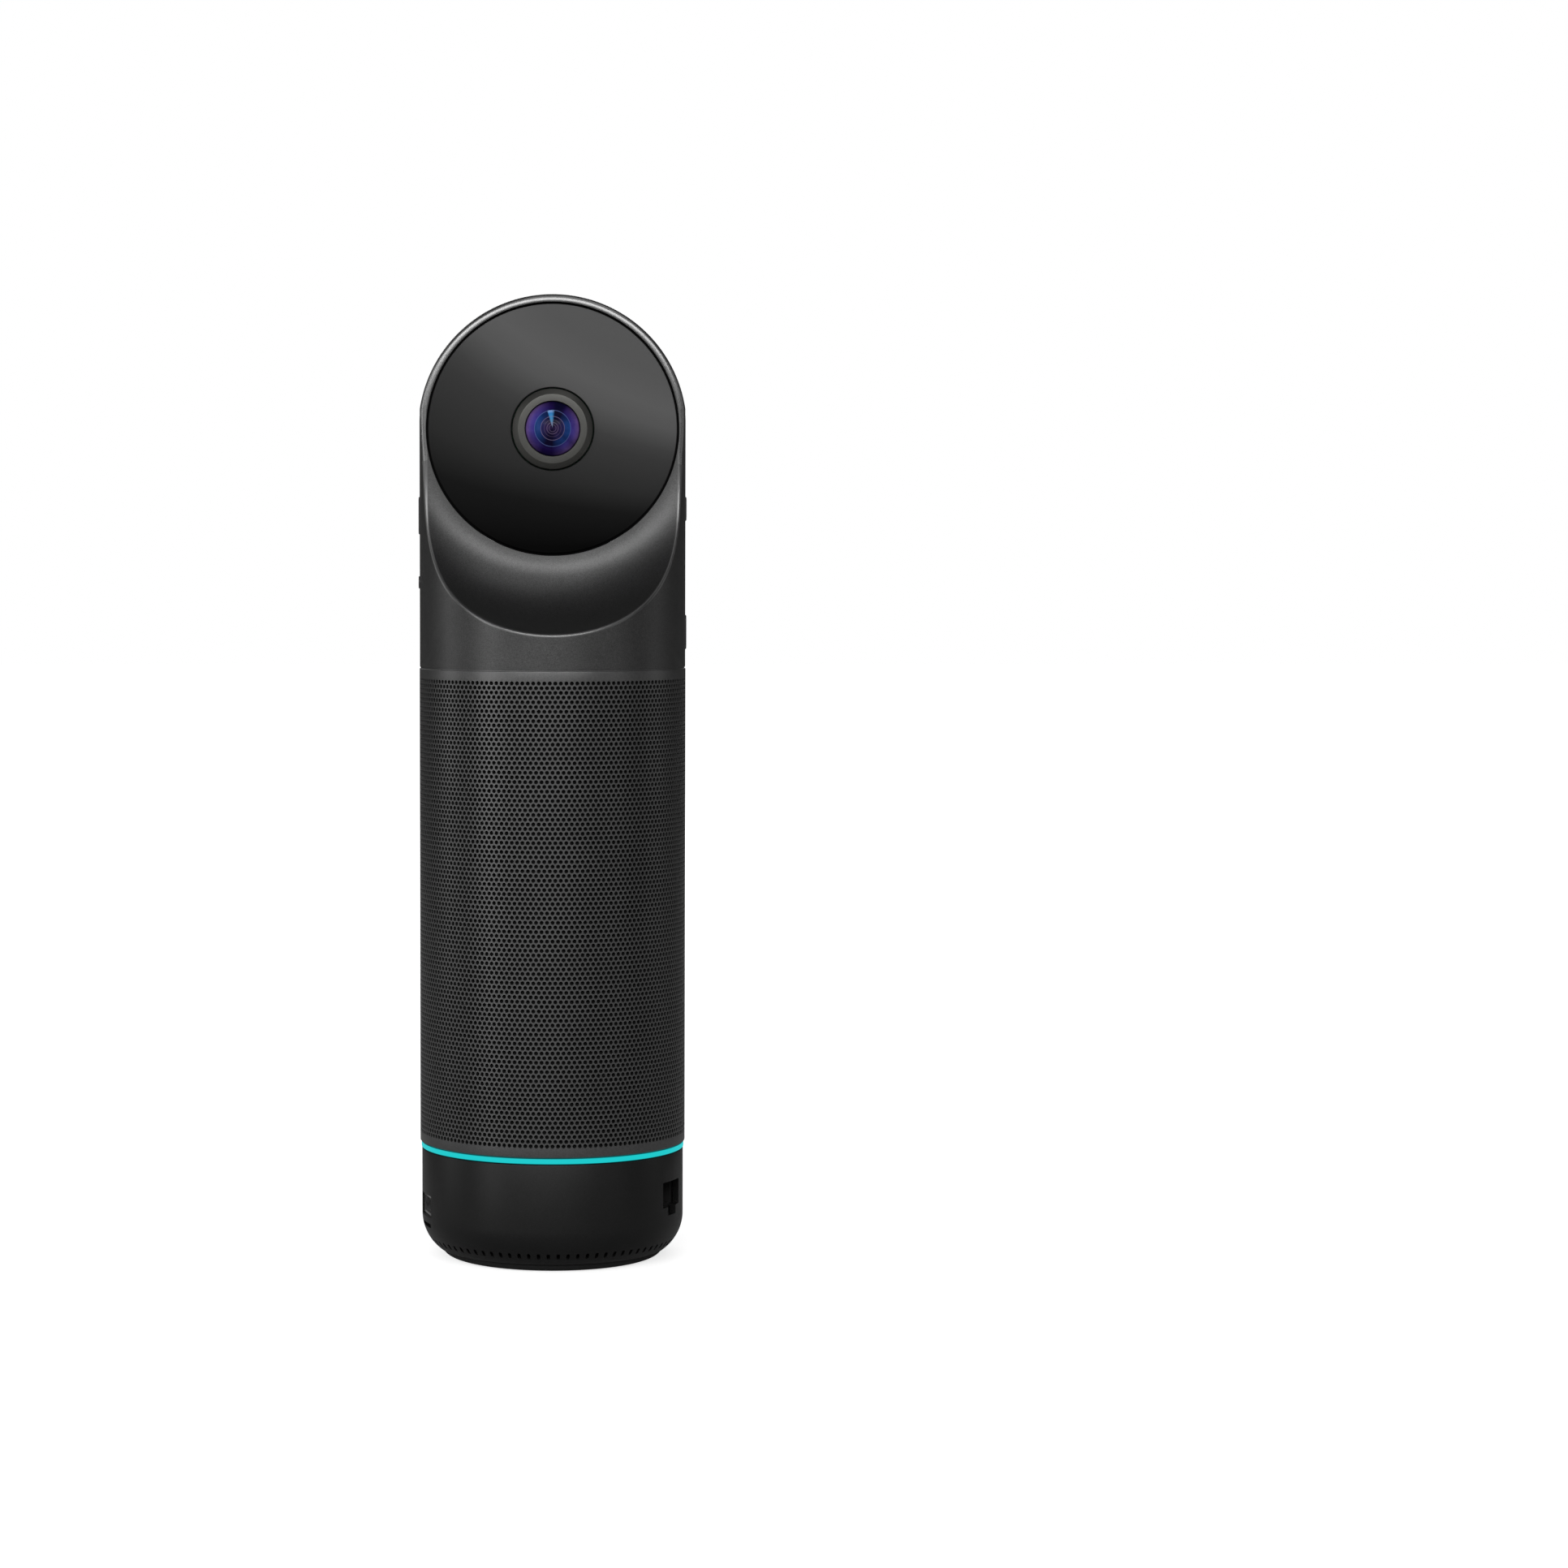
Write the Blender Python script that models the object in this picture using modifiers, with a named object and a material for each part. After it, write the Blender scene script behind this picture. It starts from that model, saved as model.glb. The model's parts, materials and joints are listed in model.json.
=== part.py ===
"""All-round meeting camera: a free-standing round tower with a lens on each face of its head.

Metres, +Z up, the front lens looks along -Y. The origin is on the floor, under the tower's axis.
Directions round the tower are azimuths in degrees: 0 is the front (-Y) and 90 is the right (+X).
"""

from math import asin, cos, pi, radians, sin, sqrt

import bmesh
import bpy
from mathutils import Matrix

MM = 0.001
GAP = 0.3  # between pieces that touch, in mm like every size below

# Driving dimensions
GRILLE_RADIUS = 46.0
HEAD_RADIUS = 45.9
BASE_RADIUS = 45.4
LENS_Z = 286.4
TOTAL_HEIGHT = LENS_Z + GRILLE_RADIUS
NECK_SEAM_Z = 204.65
RING_TOP_Z = 40.2
RING_HEIGHT = 2.0
WALL = 2.2
SHEET_WALL = 0.8

# Head: a flat round face, with a flared scoop turned about the lens axis below it
FACE_Y = 12.5
FACE_RADIUS = 42.6
FACE_GAP = 1.0
SCOOP_START = 43.0
SCOOP_WIDTH = 26.9
SCOOP_DEPTH = 40.0
SCOOP_REACH = 60.0  # how far in front of the axis the scoop's cutter starts

# Lens
LENS_RING_RADIUS = 13.7
LENS_RING_FLAT = 11.9
LENS_RADIUS = 9.4
LENS_RING_Y = 15.0
LENS_EDGE_Y = 14.2
FACE_BACK_Y = 10.4
DOME_CURVE = 11.2

# Base
FILLET_RADIUS = 15.0
FOOT_RADIUS = 38.2
FOOT_HEIGHT = 2.7
FOOT_FLAT_RADIUS = 33.2
BASE_OPENING_RADIUS = 36.5
BOARD_Z = 13.5
BOARD_THICKNESS = 1.6
BOARD_TOP = BOARD_Z + BOARD_THICKNESS
BOARD_RADIUS = 41.0
STUD_RADIUS_AT = 27.0
STUD_AZIMUTHS = (35, 125, 215, 305)
BUSH_BORE = 3.1

# Loudspeaker, firing down on a reflector
FRAME_Z = 38.9
REFLECTOR_Z = 41.9
LEDGE_Z = 74.3
DRIVER_Z = 76.6
MAGNET_Z = 98.4
COIL_RADIUS = 9.8
ENCLOSURE_TOP = 176.0
ENCLOSURE_RADIUS = 38.5
CAGE_RADIUS = 43.4
CAGE_TOP = 203.0
WINDOWS = ((46, 72), (80, 128), (134, 198))
WINDOWS_ROUND = 6

# Side buttons: where the pill sits and how far it stands out
BUTTON_WIDTH = 4.4
BUTTON_FACE_X = 46.25
BUTTON_DEPTH = 4.2
VOLUME_Z, VOLUME_LENGTH = 257.0, 13.1
MUTE_Z = 234.0
MODE_Z, MODE_LENGTH = 259.3, 8.4
POWER_Z, POWER_LENGTH = 216.8, 12.0
BUTTON_BOARD_X = 39.0

STEPS_OUTER = 48
STEPS_INNER = 20

parts = bpy.data.collections.new("meeting_camera")
cutters = bpy.data.collections.new("cutters")


def clear_scene():
    for old in list(bpy.data.objects):
        bpy.data.objects.remove(old, do_unlink=True)
    for group in (parts, cutters):
        bpy.context.scene.collection.children.link(group)
    cutters.hide_render = True


def finish_of(name, colour, roughness, metallic=0.0):
    material = bpy.data.materials.new(name)
    material.use_nodes = True
    shader = material.node_tree.nodes["Principled BSDF"]
    shader.inputs["Base Color"].default_value = (*colour, 1.0)
    shader.inputs["Roughness"].default_value = roughness
    shader.inputs["Metallic"].default_value = metallic
    return material


FINISHES = {
    "shell": finish_of("dark_shell", (0.055, 0.055, 0.058), 0.45, 0.3),
    "face": finish_of("satin_face", (0.03, 0.03, 0.032), 0.35),
    "sheet": finish_of("dark_sheet_metal", (0.06, 0.06, 0.062), 0.4, 0.8),
    "glass": finish_of("coated_glass", (0.03, 0.02, 0.12), 0.05),
    "light": finish_of("teal_light_guide", (0.02, 0.55, 0.57), 0.3),
    "rubber": finish_of("black_rubber", (0.015, 0.015, 0.015), 0.8),
    "plastic": finish_of("black_plastic", (0.02, 0.02, 0.02), 0.5),
    "board": finish_of("circuit_board", (0.01, 0.08, 0.04), 0.5),
    "steel": finish_of("plain_steel", (0.5, 0.5, 0.5), 0.35, 1.0),
    "aluminium": finish_of("aluminium", (0.7, 0.7, 0.7), 0.4, 1.0),
    "brass": finish_of("brass", (0.7, 0.5, 0.2), 0.35, 1.0),
    "cone": finish_of("driver_cone", (0.04, 0.04, 0.04), 0.7),
    "cloth": finish_of("acoustic_cloth", (0.01, 0.01, 0.01), 0.9),
}


def add(name, mesh, finish, matrix=Matrix()):
    """A part in its own place, or a cutter where finish is None."""
    piece = bpy.data.objects.new(name, mesh)
    piece.matrix_world = matrix
    if finish is None:
        piece.hide_render = True
        piece.display_type = "WIRE"
        cutters.objects.link(piece)
    else:
        mesh.materials.append(FINISHES[finish])
        parts.objects.link(piece)
    return piece


def at(x=0.0, y=0.0, z=0.0):
    return Matrix.Translation((x * MM, y * MM, z * MM))


def facing(azimuth):
    """Turns a piece made facing the front to the given azimuth."""
    return Matrix.Rotation(radians(azimuth), 4, "Z")


def looking(side):
    """Lays a turned piece's +Z along the lens axis: side -1 is the front and 1 the rear."""
    return at(z=LENS_Z) @ Matrix.Rotation(radians(-90 * side), 4, "X")


def turned(name, profile, finish, steps=STEPS_INNER, matrix=Matrix(), ring=True):
    """A solid of revolution from (radius, height) points, down its outer side from the top."""
    mesh = bpy.data.meshes.new(name)
    points = [(radius * MM, 0.0, height * MM) for radius, height in profile]
    edges = [(i, i + 1) for i in range(len(points) - 1)]
    if ring:
        edges.append((len(points) - 1, 0))
    mesh.from_pydata(points, edges, [])
    piece = add(name, mesh, finish, matrix)
    screw = piece.modifiers.new("turn", "SCREW")
    screw.steps = screw.render_steps = steps
    screw.use_merge_vertices = True
    screw.merge_threshold = 0.00001
    screw.use_smooth_shade = False
    return piece


def turned_solid(name, profile, finish, **settings):
    """As turned(), for a profile whose two ends lie on the axis."""
    return turned(name, profile, finish, ring=False, **settings)


def tube(name, outer, inner, bottom, top, finish, **settings):
    profile = [(outer, top), (outer, bottom), (inner, bottom), (inner, top)]
    return turned(name, profile, finish, **settings)


def mesh_of(name, build):
    mesh = bpy.data.meshes.new(name)
    shape = bmesh.new()
    build(shape)
    shape.to_mesh(mesh)
    shape.free()
    return mesh


def box(name, size, centre, finish, matrix=Matrix()):
    place = at(*centre) @ Matrix.Diagonal([side * MM for side in size] + [1.0])
    mesh = mesh_of(name, lambda shape: bmesh.ops.create_cube(shape, size=1.0, matrix=place))
    return add(name, mesh, finish, matrix)


def rod(name, radius, bottom, top, finish, matrix=Matrix(), segments=STEPS_INNER):
    """A plain cylinder along its own Z."""

    def build(shape):
        bmesh.ops.create_cone(
            shape,
            cap_ends=True,
            segments=segments,
            radius1=radius * MM,
            radius2=radius * MM,
            depth=(top - bottom) * MM,
            matrix=at(z=(top + bottom) / 2),
        )

    return add(name, mesh_of(name, build), finish, matrix)


def outline_solid(name, points, thickness, finish, matrix=Matrix()):
    """A flat outline in its own XY, drawn as a filled 2D curve and made a mesh with closed caps."""
    curve = bpy.data.curves.new(name, "CURVE")
    curve.dimensions = "2D"
    curve.fill_mode = "BOTH"
    curve.extrude = thickness * MM / 2
    spline = curve.splines.new("POLY")
    spline.points.add(len(points) - 1)
    for point, (x, y) in zip(spline.points, points):
        point.co = (x * MM, y * MM, 0.0, 1.0)
    spline.use_cyclic_u = True
    drawn = bpy.data.objects.new(name + "_outline", curve)
    bpy.context.scene.collection.objects.link(drawn)
    graph = bpy.context.evaluated_depsgraph_get()
    mesh = bpy.data.meshes.new_from_object(drawn.evaluated_get(graph))
    bpy.data.objects.remove(drawn, do_unlink=True)
    mesh.name = name
    shape = bmesh.new()
    shape.from_mesh(mesh)
    bmesh.ops.remove_doubles(shape, verts=shape.verts, dist=0.000001)
    bmesh.ops.recalc_face_normals(shape, faces=shape.faces)
    shape.to_mesh(mesh)
    shape.free()
    return add(name, mesh, finish, matrix)


def joined(first, *others, operation="UNION", solver="EXACT"):
    """Joins the other objects to the first, or cuts them from it, and keeps them as cutters."""
    for other in others:
        if other.name in parts.objects:
            parts.objects.unlink(other)
            cutters.objects.link(other)
        other.hide_render = True
        other.display_type = "WIRE"
        change = first.modifiers.new(other.name, "BOOLEAN")
        change.operation = operation
        change.solver = solver
        change.object = other
    return first


def cut(first, *others, solver="EXACT"):
    return joined(first, *others, operation="DIFFERENCE", solver=solver)


def group_of(name, pieces):
    """One cutter from several separate shapes that don't touch each other."""
    shape = bmesh.new()
    for piece in pieces:
        mesh = piece.data.copy()
        mesh.transform(piece.matrix_world)
        shape.from_mesh(mesh)
        bpy.data.meshes.remove(mesh)
        bpy.data.objects.remove(piece, do_unlink=True)
    mesh = bpy.data.meshes.new(name)
    shape.to_mesh(mesh)
    shape.free()
    return add(name, mesh, None)


def arc(centre, radius, start, end, count):
    """Points on an arc between two angles in degrees, both ends included."""
    angles = [radians(start + (end - start) * i / count) for i in range(count + 1)]
    return [(centre[0] + radius * cos(a), centre[1] + radius * sin(a)) for a in angles]


def pill(length, width, count=7):
    """An upright outline with round ends, or a circle where the length is the width."""
    straight = (length - width) / 2
    top = arc((0, straight), width / 2, 0, 180, count)
    bottom = arc((0, -straight), width / 2, 180, 360, count)
    return top + bottom if straight > 0 else top[:-1] + bottom[:-1]


# ---------------------------------------------------------------- base


def make_foot():
    edge = [
        (
            FOOT_FLAT_RADIUS + (FOOT_RADIUS - FOOT_FLAT_RADIUS) * cos(radians(angle)),
            FOOT_HEIGHT * (1 - sin(radians(angle))),
        )
        for angle in (0, 30, 60, 90)
    ]
    inner = BUSH_BORE + 4.2
    turned("foot_pad", edge + [(inner, 0), (inner, FOOT_HEIGHT)], "rubber", steps=STEPS_OUTER)


def make_bottom_cover():
    low, lip, top = FOOT_HEIGHT + GAP, 5.2, 6.4
    hole = BUSH_BORE + 3.6
    profile = [(38.3, top), (38.3, lip), (36.2, lip), (36.2, low), (hole, low), (hole, top)]
    cover = turned("bottom_cover", profile, "plastic")
    places = [facing(azimuth) @ at(y=-STUD_RADIUS_AT) for azimuth in STUD_AZIMUTHS]
    holes = [rod("hole", 1.7, 0, 8, None, place, 12) for place in places]
    heads = [rod("head", 2.9, 0, 4.6, None, place, 12) for place in places]
    cut(cover, group_of("cover_screw_holes", holes), group_of("cover_head_wells", heads))
    for number, place in enumerate(places, 1):
        profile = [(0, 10.5), (1.25, 10.5), (1.25, 4.3), (2.6, 4.3), (2.6, 3.1), (0, 3.1)]
        turned_solid(f"cover_screw_{number}", profile, "steel", steps=12, matrix=place)
        stud_top, seat = BOARD_TOP + 0.8, BOARD_Z - GAP
        stud = [
            (0, stud_top),
            (1.2, stud_top),
            (1.2, seat),
            (2.4, seat),
            (2.4, top + GAP),
            (1.55, top + GAP),
            (1.55, 11.2),
            (0, 11.2),
        ]
        turned_solid(f"board_stud_{number}", stud, "brass", steps=12, matrix=place)
    bush = [
        (0, 12.2),
        (6.2, 12.2),
        (6.2, 8.2),
        (9.0, 8.2),
        (9.0, top + GAP),
        (6.2, top + GAP),
        (6.2, 0.6),
        (BUSH_BORE, 0.6),
        (BUSH_BORE, 10.0),
        (0, 10.0),
    ]
    turned_solid("tripod_bush", bush, "brass")


def base_wall(offset, bottom, count):
    """The base's side and rounded lower edge, offset inwards, from the top down to bottom."""
    centre_r = BASE_RADIUS - FILLET_RADIUS
    radius = FILLET_RADIUS - offset
    end = asin((FILLET_RADIUS - bottom) / radius) * 180 / pi
    return arc((centre_r, FILLET_RADIUS), radius, 0, -end, count)


def port_cutter(name, azimuth, width, height, middle_z, depth_from=38.0):
    """A box through the base wall, facing an azimuth."""
    length = 50.0 - depth_from
    centre = (0, -(depth_from + length / 2), middle_z)
    return box(name, (width, length, height), centre, None, facing(azimuth))


def socket_block(name, azimuth, size, front, bottom_z, finish):
    """A connector body: size is its width, depth and height, and front its face's distance out."""
    width, depth, height = size
    centre = (0, -(front - depth / 2), bottom_z + height / 2)
    return box(name, (width, depth, height), centre, finish, facing(azimuth))


NETWORK_AZIMUTH = 65
USB_A_AZIMUTH = -76.5
CARD_AZIMUTH = -76.5
HDMI_AZIMUTHS = {"hdmi_in_socket": 101, "hdmi_out_socket": 134}
USB_C_AZIMUTH = 162
POWER_AZIMUTH = -166
AUDIO_AZIMUTH = -138
SEATED = BOARD_TOP + GAP
NETWORK_OPENING = (13.4, 8.8, 24.2)  # width, height and middle height above the floor
LATCH_OPENING = (6.4, 3.6, 18.7)
USB_A_SIZE = (14.0, 14.0, 7.0)
HDMI_SIZE = (15.0, 11.5, 6.0)
USB_C_SIZE = (9.2, 8.0, 3.6)
POWER_SIZE = (9.0, 13.5, 10.6)
AUDIO_SIZE = (6.4, 12.0, 5.4)
CARD_SIZE = (14.0, 14.5, 1.9)
CARD_Z = BOARD_Z - GAP - CARD_SIZE[2]


def make_base_shell():
    foot_line = FOOT_HEIGHT + GAP
    outer = base_wall(0.0, foot_line, 4)
    lip_z = foot_line + 1.9
    inner = base_wall(WALL, lip_z, 3)[::-1]
    lip = [(BASE_OPENING_RADIUS, foot_line), (BASE_OPENING_RADIUS, lip_z)]
    top = RING_TOP_Z - RING_HEIGHT - GAP
    profile = [(BASE_RADIUS, top)] + outer + lip + inner + [(BASE_RADIUS - WALL, top)]
    shell = turned("base_shell", profile, "shell", steps=STEPS_OUTER)
    holes = [
        port_cutter("hole", NETWORK_AZIMUTH, *NETWORK_OPENING),
        port_cutter("hole", USB_A_AZIMUTH, 14.7, 7.6, SEATED + USB_A_SIZE[2] / 2),
        port_cutter("hole", USB_C_AZIMUTH, 9.9, 4.3, SEATED + USB_C_SIZE[2] / 2),
        port_cutter("hole", CARD_AZIMUTH, 12.4, 1.5, CARD_Z + CARD_SIZE[2] / 2),
    ]
    for azimuth in HDMI_AZIMUTHS.values():
        holes.append(port_cutter("hole", azimuth, 15.7, 6.7, SEATED + HDMI_SIZE[2] / 2))
    for azimuth, radius, size in ((POWER_AZIMUTH, 4.0, POWER_SIZE), (AUDIO_AZIMUTH, 3.1, AUDIO_SIZE)):
        place = facing(azimuth) @ at(z=SEATED + size[2] / 2) @ Matrix.Rotation(radians(90), 4, "X")
        holes.append(rod("hole", radius, 38, 50, None, place, 16))
    latch = port_cutter("latch_opening", NETWORK_AZIMUTH, *LATCH_OPENING)
    cut(shell, group_of("port_openings", holes), latch)


def make_sockets():
    front = 42.0
    network = socket_block("network_socket", NETWORK_AZIMUTH, (15.6, 20, 14), front, SEATED, "plastic")
    mouth = port_cutter("network_mouth", NETWORK_AZIMUTH, 11.9, 8.4, 24.2, depth_from=29.0)
    notch = port_cutter("network_notch", NETWORK_AZIMUTH, 6.2, 3.6, 18.7, depth_from=29.0)
    cut(network, mouth, notch)

    def metal_socket(name, azimuth, size, wall, tongue):
        """A sheet shell with a contact tongue standing in its mouth."""
        width, depth, height = size
        middle = SEATED + height / 2
        reach = 44.2
        shell = socket_block(name, azimuth, size, reach, SEATED, "steel")
        inside = (width - 2 * wall, height - 2 * wall)
        mouth = port_cutter(name + "_mouth", azimuth, *inside, middle, depth_from=reach - depth + 3)
        tongue_width, tongue_height, lift = tongue
        centre = (0, -(reach - depth / 2 - 1), middle + lift)
        stem = box(name + "_tongue", (tongue_width, depth - 4, tongue_height), centre, None, facing(azimuth))
        joined(cut(shell, mouth), stem)

    metal_socket("usb_a_socket", USB_A_AZIMUTH, USB_A_SIZE, 0.8, (11.0, 1.8, 0.9))
    for name, azimuth in HDMI_AZIMUTHS.items():
        metal_socket(name, azimuth, HDMI_SIZE, 0.7, (11.4, 1.2, 0.0))
    metal_socket("usb_c_socket", USB_C_AZIMUTH, USB_C_SIZE, 0.5, (6.4, 0.7, 0.0))

    for name, azimuth, size, bore, depth in (
        ("power_socket", POWER_AZIMUTH, POWER_SIZE, 2.9, 10.5),
        ("audio_socket", AUDIO_AZIMUTH, AUDIO_SIZE, 1.8, 10.5),
    ):
        reach = 42.4
        block = socket_block(name, azimuth, size, reach, SEATED, "plastic")
        place = facing(azimuth) @ at(z=SEATED + size[2] / 2) @ Matrix.Rotation(radians(90), 4, "X")
        cut(block, rod(name + "_bore", bore, reach - depth, reach + 5, None, place, 16))
        if name == "power_socket":
            joined(block, rod("power_pin", 0.9, reach - depth - 1, reach - 1.5, None, place, 12))

    card = socket_block("card_socket", CARD_AZIMUTH, CARD_SIZE, 41.6, CARD_Z, "steel")
    cut(card, port_cutter("card_slot", CARD_AZIMUTH, 11.4, 1.0, CARD_Z + CARD_SIZE[2] / 2, depth_from=29.0))


def make_electronics():
    board = rod("main_board", BOARD_RADIUS, BOARD_Z, BOARD_TOP, "board", segments=STEPS_OUTER)
    holes = [
        rod("hole", 1.5, BOARD_Z - 1, BOARD_TOP + 1, None, facing(a) @ at(y=-STUD_RADIUS_AT), 12)
        for a in STUD_AZIMUTHS
    ]
    cut(board, group_of("board_holes", holes))
    chip_top = BOARD_TOP + GAP + 1.4
    box("processor", (16, 16, 1.4), (0, 0, chip_top - 0.7), "plastic")

    fins, side, base_low, base_high, fin_top = 9, 32.0, chip_top + GAP, chip_top + 2.8, 27.4
    pitch = side / (2 * fins - 1)
    comb = [(-side / 2, base_low), (side / 2, base_low)]
    for fin in range(fins):
        right = side / 2 - 2 * fin * pitch
        comb += [(right, fin_top), (right - pitch, fin_top)]
        if fin < fins - 1:
            comb += [(right - pitch, base_high), (right - 2 * pitch, base_high)]
    outline_solid("heat_sink", comb, side, "aluminium", Matrix.Rotation(radians(90), 4, "X"))

    fan_low, fan_high = 29.8, 38.5
    frame = box("fan_frame", (40, 40, fan_high - fan_low), (0, 0, (fan_low + fan_high) / 2), "plastic")
    cut(frame, rod("fan_bore", 18.6, fan_low - 1, fan_high + 1, None, segments=32))
    joined(frame, rod("fan_hub_plate", 8.0, fan_low, fan_low + 1.2, None))
    for number, azimuth in enumerate((30, 150, 270), 1):
        centre = (0, -13, fan_low + 0.6)
        joined(frame, box(f"fan_arm_{number}", (2.2, 13, 1.2), centre, None, facing(azimuth)))
    rotor = rod("fan_rotor", 8.0, fan_low + 1.7, fan_high - 0.4, "plastic")
    for number in range(7):
        pitch_up = facing(number * 360 / 7) @ at(y=-12.3, z=(fan_low + fan_high) / 2 + 0.8)
        blade = pitch_up @ Matrix.Rotation(radians(35), 4, "Y")
        joined(rotor, box(f"fan_blade_{number + 1}", (0.9, 9.6, 6.0), (0, 0, 0), None, blade))


def make_light():
    low = RING_TOP_Z - RING_HEIGHT
    tube("light_ring", GRILLE_RADIUS - 0.4, 40.9, low, RING_TOP_Z, "light", steps=STEPS_OUTER)
    board = tube("led_board", 42.8, 36.0, 36.2, 37.2, "board")
    lamps = [
        box("lamp", (2.0, 1.6, 0.9), (0, -40.0, 37.45), None, facing(azimuth))
        for azimuth in range(0, 360, 20)
    ]
    joined(board, group_of("led_lamps", lamps))


# ---------------------------------------------------------------- loudspeaker


def make_frames():
    flange = RING_TOP_Z + GAP
    plate = [(43.9, 41.5), (43.9, flange), (40.3, flange), (40.3, FRAME_Z), (17, FRAME_Z), (17, 41.5)]
    turned("lower_frame", plate, "plastic")

    ledge_top = DRIVER_Z - GAP
    inner = CAGE_RADIUS - 2.6
    wall = [
        (CAGE_RADIUS, CAGE_TOP),
        (CAGE_RADIUS, REFLECTOR_Z),
        (inner, REFLECTOR_Z),
        (inner, LEDGE_Z),
        (34.6, LEDGE_Z),
        (34.6, ledge_top),
        (inner, ledge_top),
        (inner, CAGE_TOP),
    ]
    cage = turned("grille_cage", wall, "plastic", steps=24)
    windows = []
    for low, high in WINDOWS:
        for number in range(WINDOWS_ROUND):
            size = (36.0, 8.0, high - low)
            centre = (0, -CAGE_RADIUS + 1.0, (low + high) / 2)
            place = facing(number * 360 / WINDOWS_ROUND + 5)
            windows.append(box("window", size, centre, None, place))
    cut(cage, group_of("cage_windows", windows))

    top = NECK_SEAM_Z - 2 * GAP
    tube("acoustic_cloth", 44.6, 44.0, REFLECTOR_Z, CAGE_TOP, "cloth", steps=STEPS_OUTER)
    grille_low = RING_TOP_Z + GAP
    inner = GRILLE_RADIUS - SHEET_WALL
    tube("grille", GRILLE_RADIUS, inner, grille_low, top + GAP, "sheet", steps=STEPS_OUTER)


def make_reflector():
    """A concave cone under the driver, which turns its sound outwards all round."""
    foot_radius, tip_z, rim_z, thick = 39.0, 67.0, 44.0, 2.0

    def curve(radius, lift):
        return rim_z + (tip_z - rim_z) * (1 - radius / foot_radius) ** 2 - lift

    radii = [foot_radius * i / 5 for i in range(6)]
    outside = [(radius, curve(radius, 0)) for radius in radii]
    inside = [(radius, curve(radius, thick)) for radius in radii[:-1]]
    low = REFLECTOR_Z
    inside = [(min(r, foot_radius - thick), max(z, low)) for r, z in inside][::-1]
    rim = [(foot_radius, low), (foot_radius - thick, low)]
    turned_solid("sound_reflector", outside + rim + inside, "plastic")


def make_driver():
    low = DRIVER_Z
    basket = [
        (14.0, 98.0),
        (30.4, 83.6),
        (30.4, low + 1.7),
        (33.8, low + 1.7),
        (33.8, low),
        (28.3, low),
        (28.3, 83.0),
        (12.6, 96.6),
        (12.6, 98.0),
    ]
    frame = turned("driver_basket", basket, "steel")
    slots = [
        box("slot", (12, 10, 8), (0, -22.5, 90.4), None, facing(azimuth)) for azimuth in (45, 135, 225, 315)
    ]
    cut(frame, group_of("basket_windows", slots))

    magnet_top = MAGNET_Z + 14.0
    magnet = [
        (0, magnet_top),
        (22, magnet_top),
        (22, MAGNET_Z),
        (COIL_RADIUS + 1.3, MAGNET_Z),
        (COIL_RADIUS + 1.3, MAGNET_Z + 8),
        (COIL_RADIUS - 1.3, MAGNET_Z + 8),
        (COIL_RADIUS - 1.3, MAGNET_Z),
        (0, MAGNET_Z),
    ]
    turned_solid("driver_magnet", magnet, "steel")

    coil_top, thick = MAGNET_Z + 3.6, 0.7
    cone = [
        (COIL_RADIUS + 0.4, coil_top),
        (COIL_RADIUS + 0.4, 90.0),
        (24.0, 80.8),
        (26.0, 81.8),
        (27.2, 80.8),
        (27.2, 80.1),
        (26.0, 81.0),
        (24.0, 79.9),
        (COIL_RADIUS, 88.6),
        (5.5, 86.6),
        (0, 86.0),
    ]
    dust_cap = [(0, 86.7), (5.2, 87.3), (COIL_RADIUS - thick, 89.6), (COIL_RADIUS - thick, coil_top)]
    turned_solid("driver_cone", dust_cap + cone, "cone")


def make_enclosure():
    low, high, wall = DRIVER_Z + 2.0, ENCLOSURE_TOP, 2.2
    outer, inner = ENCLOSURE_RADIUS, ENCLOSURE_RADIUS - wall
    profile = [
        (outer, high),
        (outer, DRIVER_Z),
        (34.4, DRIVER_Z),
        (34.4, low),
        (30.8, low),
        (30.8, low + wall),
        (inner, low + wall),
        (inner, high - wall),
        (26.2, high - wall),
        (26.2, high),
    ]
    turned("speaker_enclosure", profile, "plastic")
    tube("radiator_frame", 33.0, 25.2, high + GAP, high + 1.8, "plastic")
    middle = high + 1.05
    radiator = [
        (0, middle + 0.7),
        (19.0, middle + 0.7),
        (22.0, middle + 1.9),
        (24.8, middle + 0.7),
        (24.8, middle),
        (22.0, middle + 1.2),
        (19.0, middle),
        (9.0, middle),
        (9.0, middle - 2.4),
        (0, middle - 2.4),
    ]
    turned_solid("passive_radiator", radiator, "rubber")


# ---------------------------------------------------------------- head


def scoop_profile(growth):
    """The space in front of the head: a flat face, then an elliptic flare out to the neck."""
    middle_y = FACE_Y + SCOOP_DEPTH
    width, depth = SCOOP_WIDTH + growth, SCOOP_DEPTH + growth
    last = 0.99 * width
    flare = []
    for i in range(7, 0, -1):
        step = last * sin(i * pi / 14)
        flare.append((SCOOP_START + step, middle_y - depth * sqrt(1 - (step / width) ** 2)))
    outer = flare[0][0] + 0.3
    start = FACE_Y - growth
    return [(0, SCOOP_REACH), (outer, SCOOP_REACH)] + flare + [(SCOOP_START, start), (0, start)]


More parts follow.
